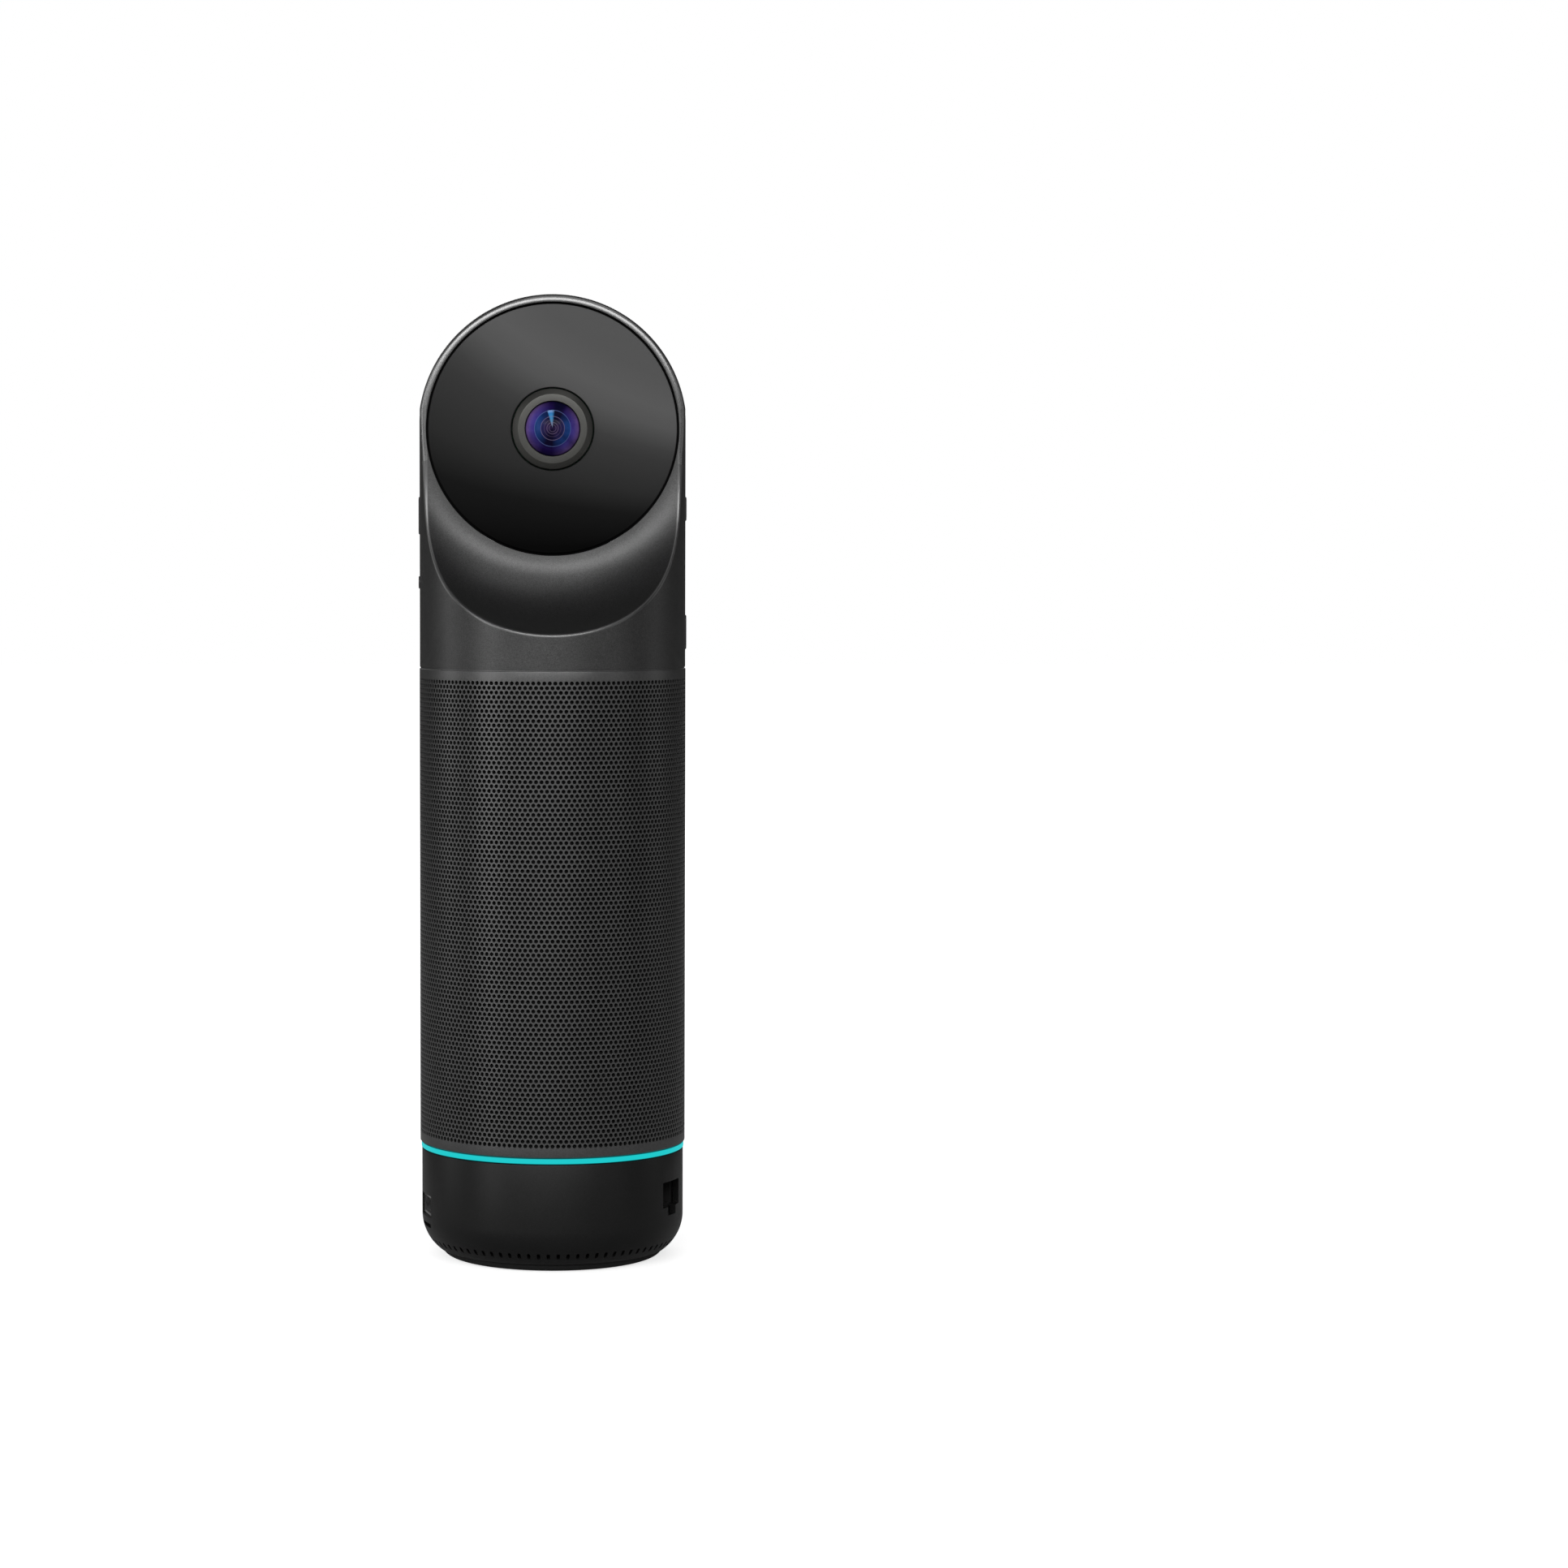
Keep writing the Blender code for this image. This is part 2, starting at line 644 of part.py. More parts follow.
def make_head_shell():
    """The arch-topped shell. Its cuts cross at shallow angles, which the MANIFOLD solver takes."""
    bottom = NECK_SEAM_Z + GAP / 2
    shell = rod("head_shell", HEAD_RADIUS, bottom, TOTAL_HEIGHT + 2, "shell", segments=STEPS_OUTER)
    width = GRILLE_RADIUS
    arch = [(-width, bottom - 5), (width, bottom - 5)] + arc((0, LENS_Z), width, 0, 180, 32)
    upright = Matrix.Rotation(radians(90), 4, "X")
    outline = outline_solid("arch", arch, 110, None, upright)
    joined(shell, outline, operation="INTERSECT", solver="MANIFOLD")
    hollow = rod("neck_hollow", HEAD_RADIUS - 2.5, bottom - 5, LENS_Z, None, segments=STEPS_OUTER)
    for side, word in ((-1, "front"), (1, "rear")):
        out = looking(side)
        scoop = turned_solid(f"{word}_scoop", scoop_profile(0.0), None, steps=48, matrix=out)
        cut(shell, scoop, solver="MANIFOLD")
        wall = turned_solid(f"{word}_scoop_wall", scoop_profile(WALL), None, steps=36, matrix=out)
        cut(hollow, wall, solver="MANIFOLD")
    bore = rod("face_bore", FACE_RADIUS + FACE_GAP, -30, 30, None, looking(-1), segments=48)
    holes = [button_solid(name + "_hole", *where, GAP) for name, where in BUTTONS.items()]
    cut(shell, hollow, bore, *holes, solver="MANIFOLD")


def button_solid(name, side, z, length, grow=0.0, finish=None):
    """A pill-shaped button on the left (-1) or right (1), or its hole where grow is set."""
    outline = pill(length + 2 * grow, BUTTON_WIDTH + 2 * grow)
    depth = 12.0 if grow else BUTTON_DEPTH
    middle = BUTTON_FACE_X - (0 if grow else depth / 2)
    upright = Matrix.Rotation(radians(90), 4, "Z") @ Matrix.Rotation(radians(90), 4, "X")
    piece = outline_solid(name, outline, depth, finish, upright)
    piece.data.transform(upright)
    piece.matrix_world = at(x=side * middle, z=z)
    return piece


BUTTONS = {
    "volume_rocker": (-1, VOLUME_Z, VOLUME_LENGTH),
    "mute_button": (-1, MUTE_Z, BUTTON_WIDTH),
    "mode_button": (1, MODE_Z, MODE_LENGTH),
    "power_button": (1, POWER_Z, POWER_LENGTH),
}


def make_buttons():
    for name, (side, z, length) in BUTTONS.items():
        button_solid(name, side, z, length, finish="plastic")
    for name, side, low, high, switches in (
        ("left_button_board", -1, 228, 268, (MUTE_Z, VOLUME_Z - 4.2, VOLUME_Z + 4.2)),
        ("right_button_board", 1, 211, 266, (POWER_Z, MODE_Z)),
    ):
        x = side * BUTTON_BOARD_X
        board = box(name, (1.2, 10, high - low), (x, 0, (low + high) / 2), "board")
        for number, z in enumerate(switches, 1):
            centre = (side * (BUTTON_BOARD_X + 1.35), 0, z)
            joined(board, box(f"{name}_switch_{number}", (1.9, 3.4, 3.4), centre, None))


def make_neck():
    low = CAGE_TOP + GAP
    frame = [(43.0, 209.0), (43.0, low), (12.0, low), (12.0, low + 2.2), (40.8, low + 2.2), (40.8, 209.0)]
    turned("neck_frame", frame, "plastic")
    board_low = low + 2.2 + GAP
    board = tube("microphone_board", 40.0, 24.0, board_low, board_low + 1.2, "board")
    capsules = [
        box("capsule", (3.6, 2.8, 1.3), (0, -36.5, board_low + 1.6), None, facing(azimuth))
        for azimuth in range(0, 360, 45)
    ]
    joined(board, group_of("microphones", capsules))


def make_camera():
    upright = Matrix.Rotation(radians(90), 4, "X")
    bracket = rod("camera_bracket", 38.0, -1.25, 1.25, "aluminium", looking(-1), segments=32)
    foot_z = CAGE_TOP + GAP + 2.2 + GAP
    column = box("bracket_column", (40, 2.5, LENS_Z - 30 - foot_z), (0, 0, (LENS_Z - 30 + foot_z) / 2), None)
    flange = box("bracket_flange", (40, 14, 2.0), (0, 0, foot_z + 1.0), None)
    joined(bracket, column, flange)
    for side, word in ((-1, "front"), (1, "rear")):
        out = looking(side)
        hole = LENS_RING_RADIUS + GAP
        disc = [(FACE_RADIUS, FACE_Y), (FACE_RADIUS, FACE_BACK_Y), (hole, FACE_BACK_Y), (hole, FACE_Y)]
        turned(f"{word}_face_disc", disc, "face", steps=STEPS_OUTER, matrix=out)
        ring = [
            (LENS_RING_FLAT, LENS_RING_Y),
            (LENS_RING_RADIUS, 13.2),
            (LENS_RING_RADIUS, 9.0),
            (LENS_RADIUS + GAP, 9.0),
            (LENS_RADIUS + GAP, LENS_RING_Y),
        ]
        turned(f"{word}_lens_ring", ring, "shell", steps=32, matrix=out)
        spread = asin(LENS_RADIUS / DOME_CURVE)
        centre_y = LENS_EDGE_Y - DOME_CURVE * cos(spread)
        dome = [
            (DOME_CURVE * sin(spread * i / 5), centre_y + DOME_CURVE * cos(spread * i / 5)) for i in range(6)
        ]
        glass = dome + [(LENS_RADIUS, LENS_EDGE_Y - 2.2), (0, LENS_EDGE_Y - 2.2)]
        turned_solid(f"{word}_lens_dome", glass, "glass", steps=32, matrix=out)
        barrel = [(0, 11.7), (9.0, 11.7), (9.0, 6.6), (11.5, 6.6), (11.5, 3.6), (0, 3.6)]
        turned_solid(f"{word}_lens_barrel", barrel, "plastic", matrix=out)
        box(f"{word}_sensor_board", (34, 34, 1.4), (0, 0, 2.6), "board", out)


clear_scene()
make_foot()
make_bottom_cover()
make_base_shell()
make_sockets()
make_electronics()
make_light()
make_frames()
make_reflector()
make_driver()
make_enclosure()
make_head_shell()
make_buttons()
make_neck()
make_camera()
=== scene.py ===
"""Looks of the two-lens meeting camera: fine shells, perforated sleeve, lenses, sockets, materials and light.

Sizes are in millimetres and scaled by MM. The CAD frame gives the places, and the front lens looks along -Y.
"""

import json
from math import acos, asin, atan2, cos, hypot, pi, radians, sin, sqrt, tan

import bmesh
import bpy
import numpy as np
from mathutils import Matrix, Vector


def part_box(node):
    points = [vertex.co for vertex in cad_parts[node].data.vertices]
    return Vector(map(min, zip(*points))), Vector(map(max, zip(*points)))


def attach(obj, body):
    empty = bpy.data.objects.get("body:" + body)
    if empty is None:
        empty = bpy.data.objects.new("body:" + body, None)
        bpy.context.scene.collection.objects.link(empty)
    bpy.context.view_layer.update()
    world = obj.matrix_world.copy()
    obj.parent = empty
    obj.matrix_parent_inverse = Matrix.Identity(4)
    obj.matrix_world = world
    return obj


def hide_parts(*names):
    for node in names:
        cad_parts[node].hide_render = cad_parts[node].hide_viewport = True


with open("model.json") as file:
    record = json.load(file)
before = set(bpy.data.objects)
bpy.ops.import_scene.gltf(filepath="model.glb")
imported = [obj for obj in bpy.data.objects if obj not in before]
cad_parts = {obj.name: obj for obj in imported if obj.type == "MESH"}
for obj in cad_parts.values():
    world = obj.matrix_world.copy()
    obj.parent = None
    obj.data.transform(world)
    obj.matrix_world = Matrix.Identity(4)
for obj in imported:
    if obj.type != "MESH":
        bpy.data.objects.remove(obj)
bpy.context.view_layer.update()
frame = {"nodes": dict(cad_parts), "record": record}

MM = 0.001
TOWER = "tower"


def box_mm(node):
    low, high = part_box(node)
    return low / MM, high / MM


grille_low, grille_high = box_mm("grille")
head_low, head_high = box_mm("head_shell")
base_low, base_high = box_mm("base_shell")
ring_low, ring_high = box_mm("light_ring")
_, foot_high = box_mm("foot_pad")
disc_low, disc_high = box_mm("front_face_disc")
lens_low, lens_high = box_mm("front_lens_dome")
lens_ring_low, lens_ring_high = box_mm("front_lens_ring")

GRILLE_RADIUS = grille_high.x
HEAD_RADIUS = head_high.x
BASE_RADIUS = base_high.x
RING_RADIUS = ring_high.x
FOOT_RADIUS = foot_high.x
FACE_RADIUS = disc_high.x
LENS_RADIUS = lens_high.x
LENS_RING_RADIUS = lens_ring_high.x
LENS_Z = (disc_low.z + disc_high.z) / 2
FACE_Y = -disc_low.y
LENS_RING_Y = -lens_ring_low.y
DOME_Y = -lens_low.y
HEAD_BOTTOM = head_low.z

FACE_GAP = 0.75  # between the face disc's edge and the head's rim
BASE_STEPS, DISC_STEPS, LENS_STEPS = 320, 256, 192  # round the turned pieces
FAR = 9e9  # further than anything on the object
BUTTONS = ("volume_rocker", "mute_button", "mode_button", "power_button")


# ---------------------------------------------------------------- mesh helpers


def mesh_from(name, points, *face_sets):
    """A mesh from an array of points in mm and arrays of faces, one array for each face size."""
    mesh = bpy.data.meshes.new(name)
    face_sets = [np.asarray(faces, np.int32) for faces in face_sets if len(faces)]
    sizes = np.concatenate([np.full(len(faces), faces.shape[1]) for faces in face_sets])
    corners = np.concatenate([faces.ravel() for faces in face_sets])
    mesh.vertices.add(len(points))
    mesh.vertices.foreach_set("co", (np.asarray(points, np.float32) * MM).ravel())
    mesh.loops.add(len(corners))
    mesh.loops.foreach_set("vertex_index", corners)
    mesh.polygons.add(len(sizes))
    mesh.polygons.foreach_set("loop_start", np.concatenate([[0], np.cumsum(sizes)[:-1]]).astype(np.int32))
    mesh.update(calc_edges=True)
    mesh.validate()
    return mesh


def smooth(mesh, angle=32):
    """Smooth shading, with an edge left sharp where it turns by more than the angle."""
    mesh.polygons.foreach_set("use_smooth", [True] * len(mesh.polygons))
    mesh.set_sharp_from_angle(angle=radians(angle))


def show(name, mesh, material, replaces, body=TOWER, matrix=None):
    """Adds a finished mesh to the scene as a piece that rides on a body, in the place of a CAD node."""
    piece = bpy.data.objects.new(name, mesh)
    bpy.context.scene.collection.objects.link(piece)
    if not any(mesh.materials):
        mesh.materials.clear()
        mesh.materials.append(material)
    if matrix is not None:
        mesh.transform(matrix)
    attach(piece, body)
    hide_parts(replaces)


def merged(name, meshes):
    """One mesh from several."""
    shape = bmesh.new()
    for mesh in meshes:
        shape.from_mesh(mesh)
        bpy.data.meshes.remove(mesh)
    mesh = bpy.data.meshes.new(name)
    shape.to_mesh(mesh)
    shape.free()
    return mesh


def with_modifiers(mesh, *changes):
    """The mesh after modifiers: each change is (type, {setting: value}), and meshes in it become cutters."""
    piece = bpy.data.objects.new("shaping", mesh)
    bpy.context.scene.collection.objects.link(piece)
    helpers = [piece]
    for kind, settings in changes:
        modifier = piece.modifiers.new(kind, kind)
        for setting, value in settings.items():
            if isinstance(value, bpy.types.Mesh):
                cutter = bpy.data.objects.new("cutter", value)
                bpy.context.scene.collection.objects.link(cutter)
                helpers.append(cutter)
                value = cutter
            setattr(modifier, setting, value)
    graph = bpy.context.evaluated_depsgraph_get()
    result = bpy.data.meshes.new_from_object(piece.evaluated_get(graph))
    for helper in helpers:
        bpy.data.objects.remove(helper)
    return result


def cut(mesh, cutter):
    settings = {"operation": "DIFFERENCE", "solver": "MANIFOLD", "object": cutter}
    return with_modifiers(mesh, ("BOOLEAN", settings))


def rounded(corners, segments):
    """A closed outline from (x, y, radius) corners, each rounded by its radius."""
    points = []
    count = len(corners)
    for i, (x, y, radius) in enumerate(corners):
        here = Vector((x, y))
        before = Vector(corners[i - 1][:2]) - here
        after = Vector(corners[(i + 1) % count][:2]) - here
        if radius <= 0:
            points.append((x, y))
            continue
        half = before.angle(after) / 2
        reach = min(radius / tan(half), 0.49 * before.length, 0.49 * after.length)
        start, end = here + before.normalized() * reach, here + after.normalized() * reach
        for k in range(segments + 1):
            t = k / segments
            spot = start * (1 - t) ** 2 + here * 2 * t * (1 - t) + end * t**2
            points.append((spot.x, spot.y))
    return points


def revolve(name, outline, steps):
    """A closed outline of (radius, height) points turned about Z. Points on the axis become one."""
    outline = np.array(outline)
    count = len(outline)
    angles = np.arange(steps) * 2 * pi / steps
    radius, height = outline[:, 0], outline[:, 1]
    points = np.stack(
        [
            np.outer(np.cos(angles), radius),
            np.outer(np.sin(angles), radius),
            np.tile(height, (steps, 1)),
        ],
        axis=-1,
    ).reshape(-1, 3)
    i, j = np.meshgrid(np.arange(steps), np.arange(count), indexing="ij")
    i, j = i.ravel(), j.ravel()
    i2, j2 = (i + 1) % steps, (j + 1) % count
    quads = np.stack([i * count + j, i * count + j2, i2 * count + j2, i2 * count + j], axis=1)
    on_axis = (radius[j] < 1e-6) & (radius[j2] < 1e-6)
    mesh = mesh_from(name, points, quads[~on_axis])
    shape = bmesh.new()
    shape.from_mesh(mesh)
    bmesh.ops.remove_doubles(shape, verts=shape.verts, dist=1e-7)
    bmesh.ops.recalc_face_normals(shape, faces=shape.faces)
    shape.to_mesh(mesh)
    shape.free()
    smooth(mesh)
    return mesh


def prism(name, outline, depth, matrix):
    """A flat outline of (x, y) points in mm, made depth thick about its own plane and then put in place."""
    shape = bmesh.new()
    bottom = [shape.verts.new((x * MM, y * MM, -depth * MM / 2)) for x, y in outline]
    face = shape.faces.new(bottom)
    grown = bmesh.ops.extrude_face_region(shape, geom=[face])
    top = [item for item in grown["geom"] if isinstance(item, bmesh.types.BMVert)]
    bmesh.ops.translate(shape, verts=top, vec=(0, 0, depth * MM))
    bmesh.ops.recalc_face_normals(shape, faces=shape.faces)
    mesh = bpy.data.meshes.new(name)
    shape.to_mesh(mesh)
    shape.free()
    mesh.transform(matrix)
    return mesh


def pill(length, width, count=12):
    """An upright outline with round ends."""
    straight = (length - width) / 2
    ends = []
    for middle, start in ((straight, 0), (-straight, pi)):
        for k in range(count + 1):
            angle = start + pi * k / count
            ends.append((width / 2 * cos(angle), middle + width / 2 * sin(angle)))
    return ends


def at(x=0.0, y=0.0, z=0.0):
    return Matrix.Translation((x * MM, y * MM, z * MM))


def about(axis, degrees):
    return Matrix.Rotation(radians(degrees), 4, axis)


def looking(side):
    """Lays a turned piece's +Z along the lens axis: side -1 is the front and 1 the rear."""
    return at(z=LENS_Z) @ about("X", -90 * side)


# ---------------------------------------------------------------- materials


class Nodes:
    """Short words for building a node tree."""

    def __init__(self, name):
        self.material = bpy.data.materials.new(name)
        self.material.use_nodes = True
        self.tree = self.material.node_tree
        self.shader = self.tree.nodes["Principled BSDF"]
        self.place = self.add("ShaderNodeTexCoord").outputs["Object"]

    def add(self, kind, inputs=None, **settings):
        node = self.tree.nodes.new(kind)
        for key, value in settings.items():
            setattr(node, key, value)
        for key, value in (inputs or {}).items():
            self.feed(node.inputs[key], value)
        return node

    def feed(self, socket, value):
        if isinstance(value, bpy.types.NodeSocket):
            self.tree.links.new(value, socket)
        else:
            socket.default_value = value

    def set(self, **values):
        for key, value in values.items():
            self.feed(self.shader.inputs[key.replace("_", " ")], value)
        return self

    def noise(self, size, detail=3.0, place=None):
        """Noise whose features are about size mm across."""
        scale = 1 / (size * MM)
        inputs = {"Vector": place or self.place, "Scale": scale, "Detail": detail, "Roughness": 0.6}
        return self.add("ShaderNodeTexNoise", inputs).outputs["Fac"]

    def math(self, operation, a, b=0.0, clamp=False):
        return self.add("ShaderNodeMath", {0: a, 1: b}, operation=operation, use_clamp=clamp).outputs[0]

    def ramp(self, factor, *stops):
        """A colour ramp from (position, (r, g, b)) stops."""
        node = self.add("ShaderNodeValToRGB", {"Fac": factor})
        elements = node.color_ramp.elements
        while len(elements) < len(stops):
            elements.new(0.5)
        for element, (position, colour) in zip(elements, stops):
            element.position = position
            element.color = (*colour, 1.0)
        return node.outputs["Color"]

    def map_range(self, value, low, high, to_low=0.0, to_high=1.0):
        inputs = {"Value": value, "From Min": low, "From Max": high, "To Min": to_low, "To Max": to_high}
        return self.add("ShaderNodeMapRange", inputs).outputs["Result"]

    def mix(self, factor, a, b):
        """Colour a where the factor is 0, and colour b where it is 1."""
        node = self.add("ShaderNodeMix", {"Factor": factor, "A": a, "B": b}, data_type="RGBA")
        return node.outputs["Result"]

    def axes(self):
        """The place's x, y and z, in metres."""
        return self.add("ShaderNodeSeparateXYZ", {"Vector": self.place}).outputs

    def from_lens_axis(self, x, z):
        """The height above the lens axis and the distance from it, in metres."""
        up = self.math("SUBTRACT", z, LENS_Z * MM)
        squares = self.math("ADD", self.math("POWER", x, 2.0), self.math("POWER", up, 2.0))
        return up, self.math("SQRT", squares)

    def bump(self, height, strength, distance_mm):
        inputs = {"Height": height, "Strength": strength, "Distance": distance_mm * MM}
        self.set(Normal=self.add("ShaderNodeBump", inputs).outputs["Normal"])
        return self


def grey(value, tint=(1.0, 1.0, 1.0)):
    return tuple(value * part for part in tint)


def grained(name, value, rough, metallic, grain=0.22, contrast=0.35, bump=0.25, tint=(1.0, 1.0, 1.0)):
    """Satin paint with fine metallic grain: its speckle, its roughness and its bump share the grain."""
    n = Nodes(name)
    fine = n.math("MULTIPLY", n.noise(grain, detail=2.0), 0.7)
    fine = n.math("ADD", fine, n.math("MULTIPLY", n.noise(3 * grain), 0.3))
    broad = n.noise(14.0, detail=2.0)
    speckle = n.map_range(fine, 0.3, 0.7, 1 - contrast, 1 + contrast)
    cloud = n.map_range(broad, 0.3, 0.7, 0.96, 1.04)
    shade = n.math("MULTIPLY", speckle, cloud)
    dark, light = grey(0.0, tint), grey(2 * value, tint)
    colour = n.ramp(n.math("MULTIPLY", shade, 0.5), (0.0, dark), (1.0, light))
    n.set(Base_Color=colour, Metallic=metallic)
    n.set(Roughness=n.map_range(fine, 0.3, 0.7, rough - 0.05, rough + 0.05))
    return n.bump(fine, bump, 0.03).material


def moulded(name, colour, rough, size=0.5, bump=0.15):
    """Moulded plastic or rubber with a faint texture."""
    n = Nodes(name)
    fine = n.noise(size, detail=4.0)
    cloud = n.noise(9.0, detail=2.0)
    darker = tuple(0.8 * part for part in colour)
    n.set(Base_Color=n.ramp(cloud, (0.3, darker), (0.7, colour)))
    n.set(Roughness=n.map_range(fine, 0.3, 0.7, rough - 0.06, rough + 0.06))
    return n.bump(fine, bump, 0.04).material


def metal(name, colour, rough):
    """Bare sheet metal with fine drawn marks."""
    n = Nodes(name)
    stretched = n.add("ShaderNodeMapping", {"Vector": n.place, "Scale": (1.0, 1.0, 0.08)})
    marks = n.noise(0.12, place=stretched.outputs["Vector"])
    darker = tuple(0.75 * part for part in colour)
    n.set(Base_Color=n.ramp(marks, (0.3, darker), (0.7, colour)), Metallic=1.0)
    n.set(Roughness=n.map_range(marks, 0.3, 0.7, rough - 0.06, rough + 0.06))
    return n.bump(marks, 0.1, 0.01).material


def circuit_board():
    """Green solder mask with a regular pattern under it."""
    n = Nodes("circuit_board")
    cells = n.add("ShaderNodeTexBrick", {"Vector": n.place, "Scale": 260.0, "Mortar Size": 0.03})
    cells.inputs["Color1"].default_value = (0.006, 0.07, 0.03, 1)
    cells.inputs["Color2"].default_value = (0.005, 0.05, 0.024, 1)
    cells.inputs["Mortar"].default_value = (0.012, 0.13, 0.05, 1)
    n.set(Base_Color=cells.outputs["Color"], Roughness=n.map_range(n.noise(1.2), 0.3, 0.7, 0.25, 0.4))
    return n.bump(cells.outputs["Fac"], 0.2, 0.02).material


def woven(name, colour, thread=0.35):
    """Acoustic cloth: a plain weave of two crossed waves, with a thread's width in mm."""
    n = Nodes(name)
    x, y, z = n.axes()
    across = n.math("SINE", n.math("MULTIPLY", n.math("ARCTAN2", y, x), GRILLE_RADIUS / thread * pi))
    upright = n.math("SINE", n.math("MULTIPLY", z, pi / (thread * MM)))
    weave = n.map_range(n.math("MULTIPLY", across, upright), -1.0, 1.0)
    n.set(Base_Color=n.ramp(weave, (0.2, grey(0.3, colour)), (0.8, colour)))
    n.set(Roughness=0.9, Sheen_Weight=0.2)
    return n.bump(weave, 0.4, 0.06).material


def satin_face():
    """The face disc: satin, with painted light and shade: lighter towards its top and right, near black at its
    foot, and near black on its edge and flange as painted shade in the gap round it.
    """
    n = Nodes("satin_face")
    x, _, z = n.axes()
    height = n.map_range(z, (LENS_Z - FACE_RADIUS) * MM, (LENS_Z + FACE_RADIUS) * MM)
    across = n.map_range(x, -FACE_RADIUS * MM, FACE_RADIUS * MM, -0.5, 0.5)
    # Painted light and shade: lighter towards the disc's top and right, near black at its bottom.
    painted_light_share = n.math("MULTIPLY", height, n.math("ADD", n.math("MULTIPLY", across, 0.8), 1.0))
    colour = n.ramp(
        painted_light_share,
        (0.03, grey(0.0004)),
        (0.2, grey(0.008)),
        (0.315, grey(0.027)),
        (0.5, grey(0.045)),
        (0.56, grey(0.058)),
        (0.68, grey(0.105)),
        (0.78, grey(0.122)),
        (0.95, grey(0.108)),
    )
    _, out = n.from_lens_axis(x, z)
    # Painted shade: the disc's edge and its flange near black, in the gap round the disc.
    gap_painted_shade = n.map_range(out, (FACE_RADIUS - 0.1) * MM, (FACE_RADIUS + 0.02) * MM)
    colour = n.mix(gap_painted_shade, colour, (0.001, 0.001, 0.001, 1.0))
    fine = n.noise(0.18, detail=2.0)
    n.set(Base_Color=colour, Roughness=n.map_range(fine, 0.3, 0.7, 0.45, 0.55))
    n.set(Specular_IOR_Level=0.05)
    return n.bump(fine, 0.05, 0.01).material


def glowing_ring():
    """The light guide: an even teal glow that falls off at its two edges."""
    n = Nodes("teal_light_guide")
    _, _, z = n.axes()
    middle = (ring_low.z + ring_high.z) / 2 * MM
    edge = n.math("ABSOLUTE", n.math("SUBTRACT", z, middle))
    half = (ring_high.z - ring_low.z) / 2 * MM
    inward = n.map_range(edge, 0.74 * half, 0.92 * half)
    teal, border = (0.0085, 0.545, 0.56), (0.004, 0.08, 0.083)
    colour = n.ramp(inward, (0.0, teal), (1.0, border))
    wave = n.map_range(n.noise(30.0, detail=1.0), 0.3, 0.7, 0.97, 1.03)
    n.set(Base_Color=n.ramp(inward, (0.0, (0.002, 0.03, 0.03)), (1.0, (0.001, 0.01, 0.01))))
    n.set(Emission_Color=colour, Emission_Strength=1.05, Roughness=n.math("MULTIPLY", wave, 0.35))
    n.set(Specular_IOR_Level=0.15)
    return n.material


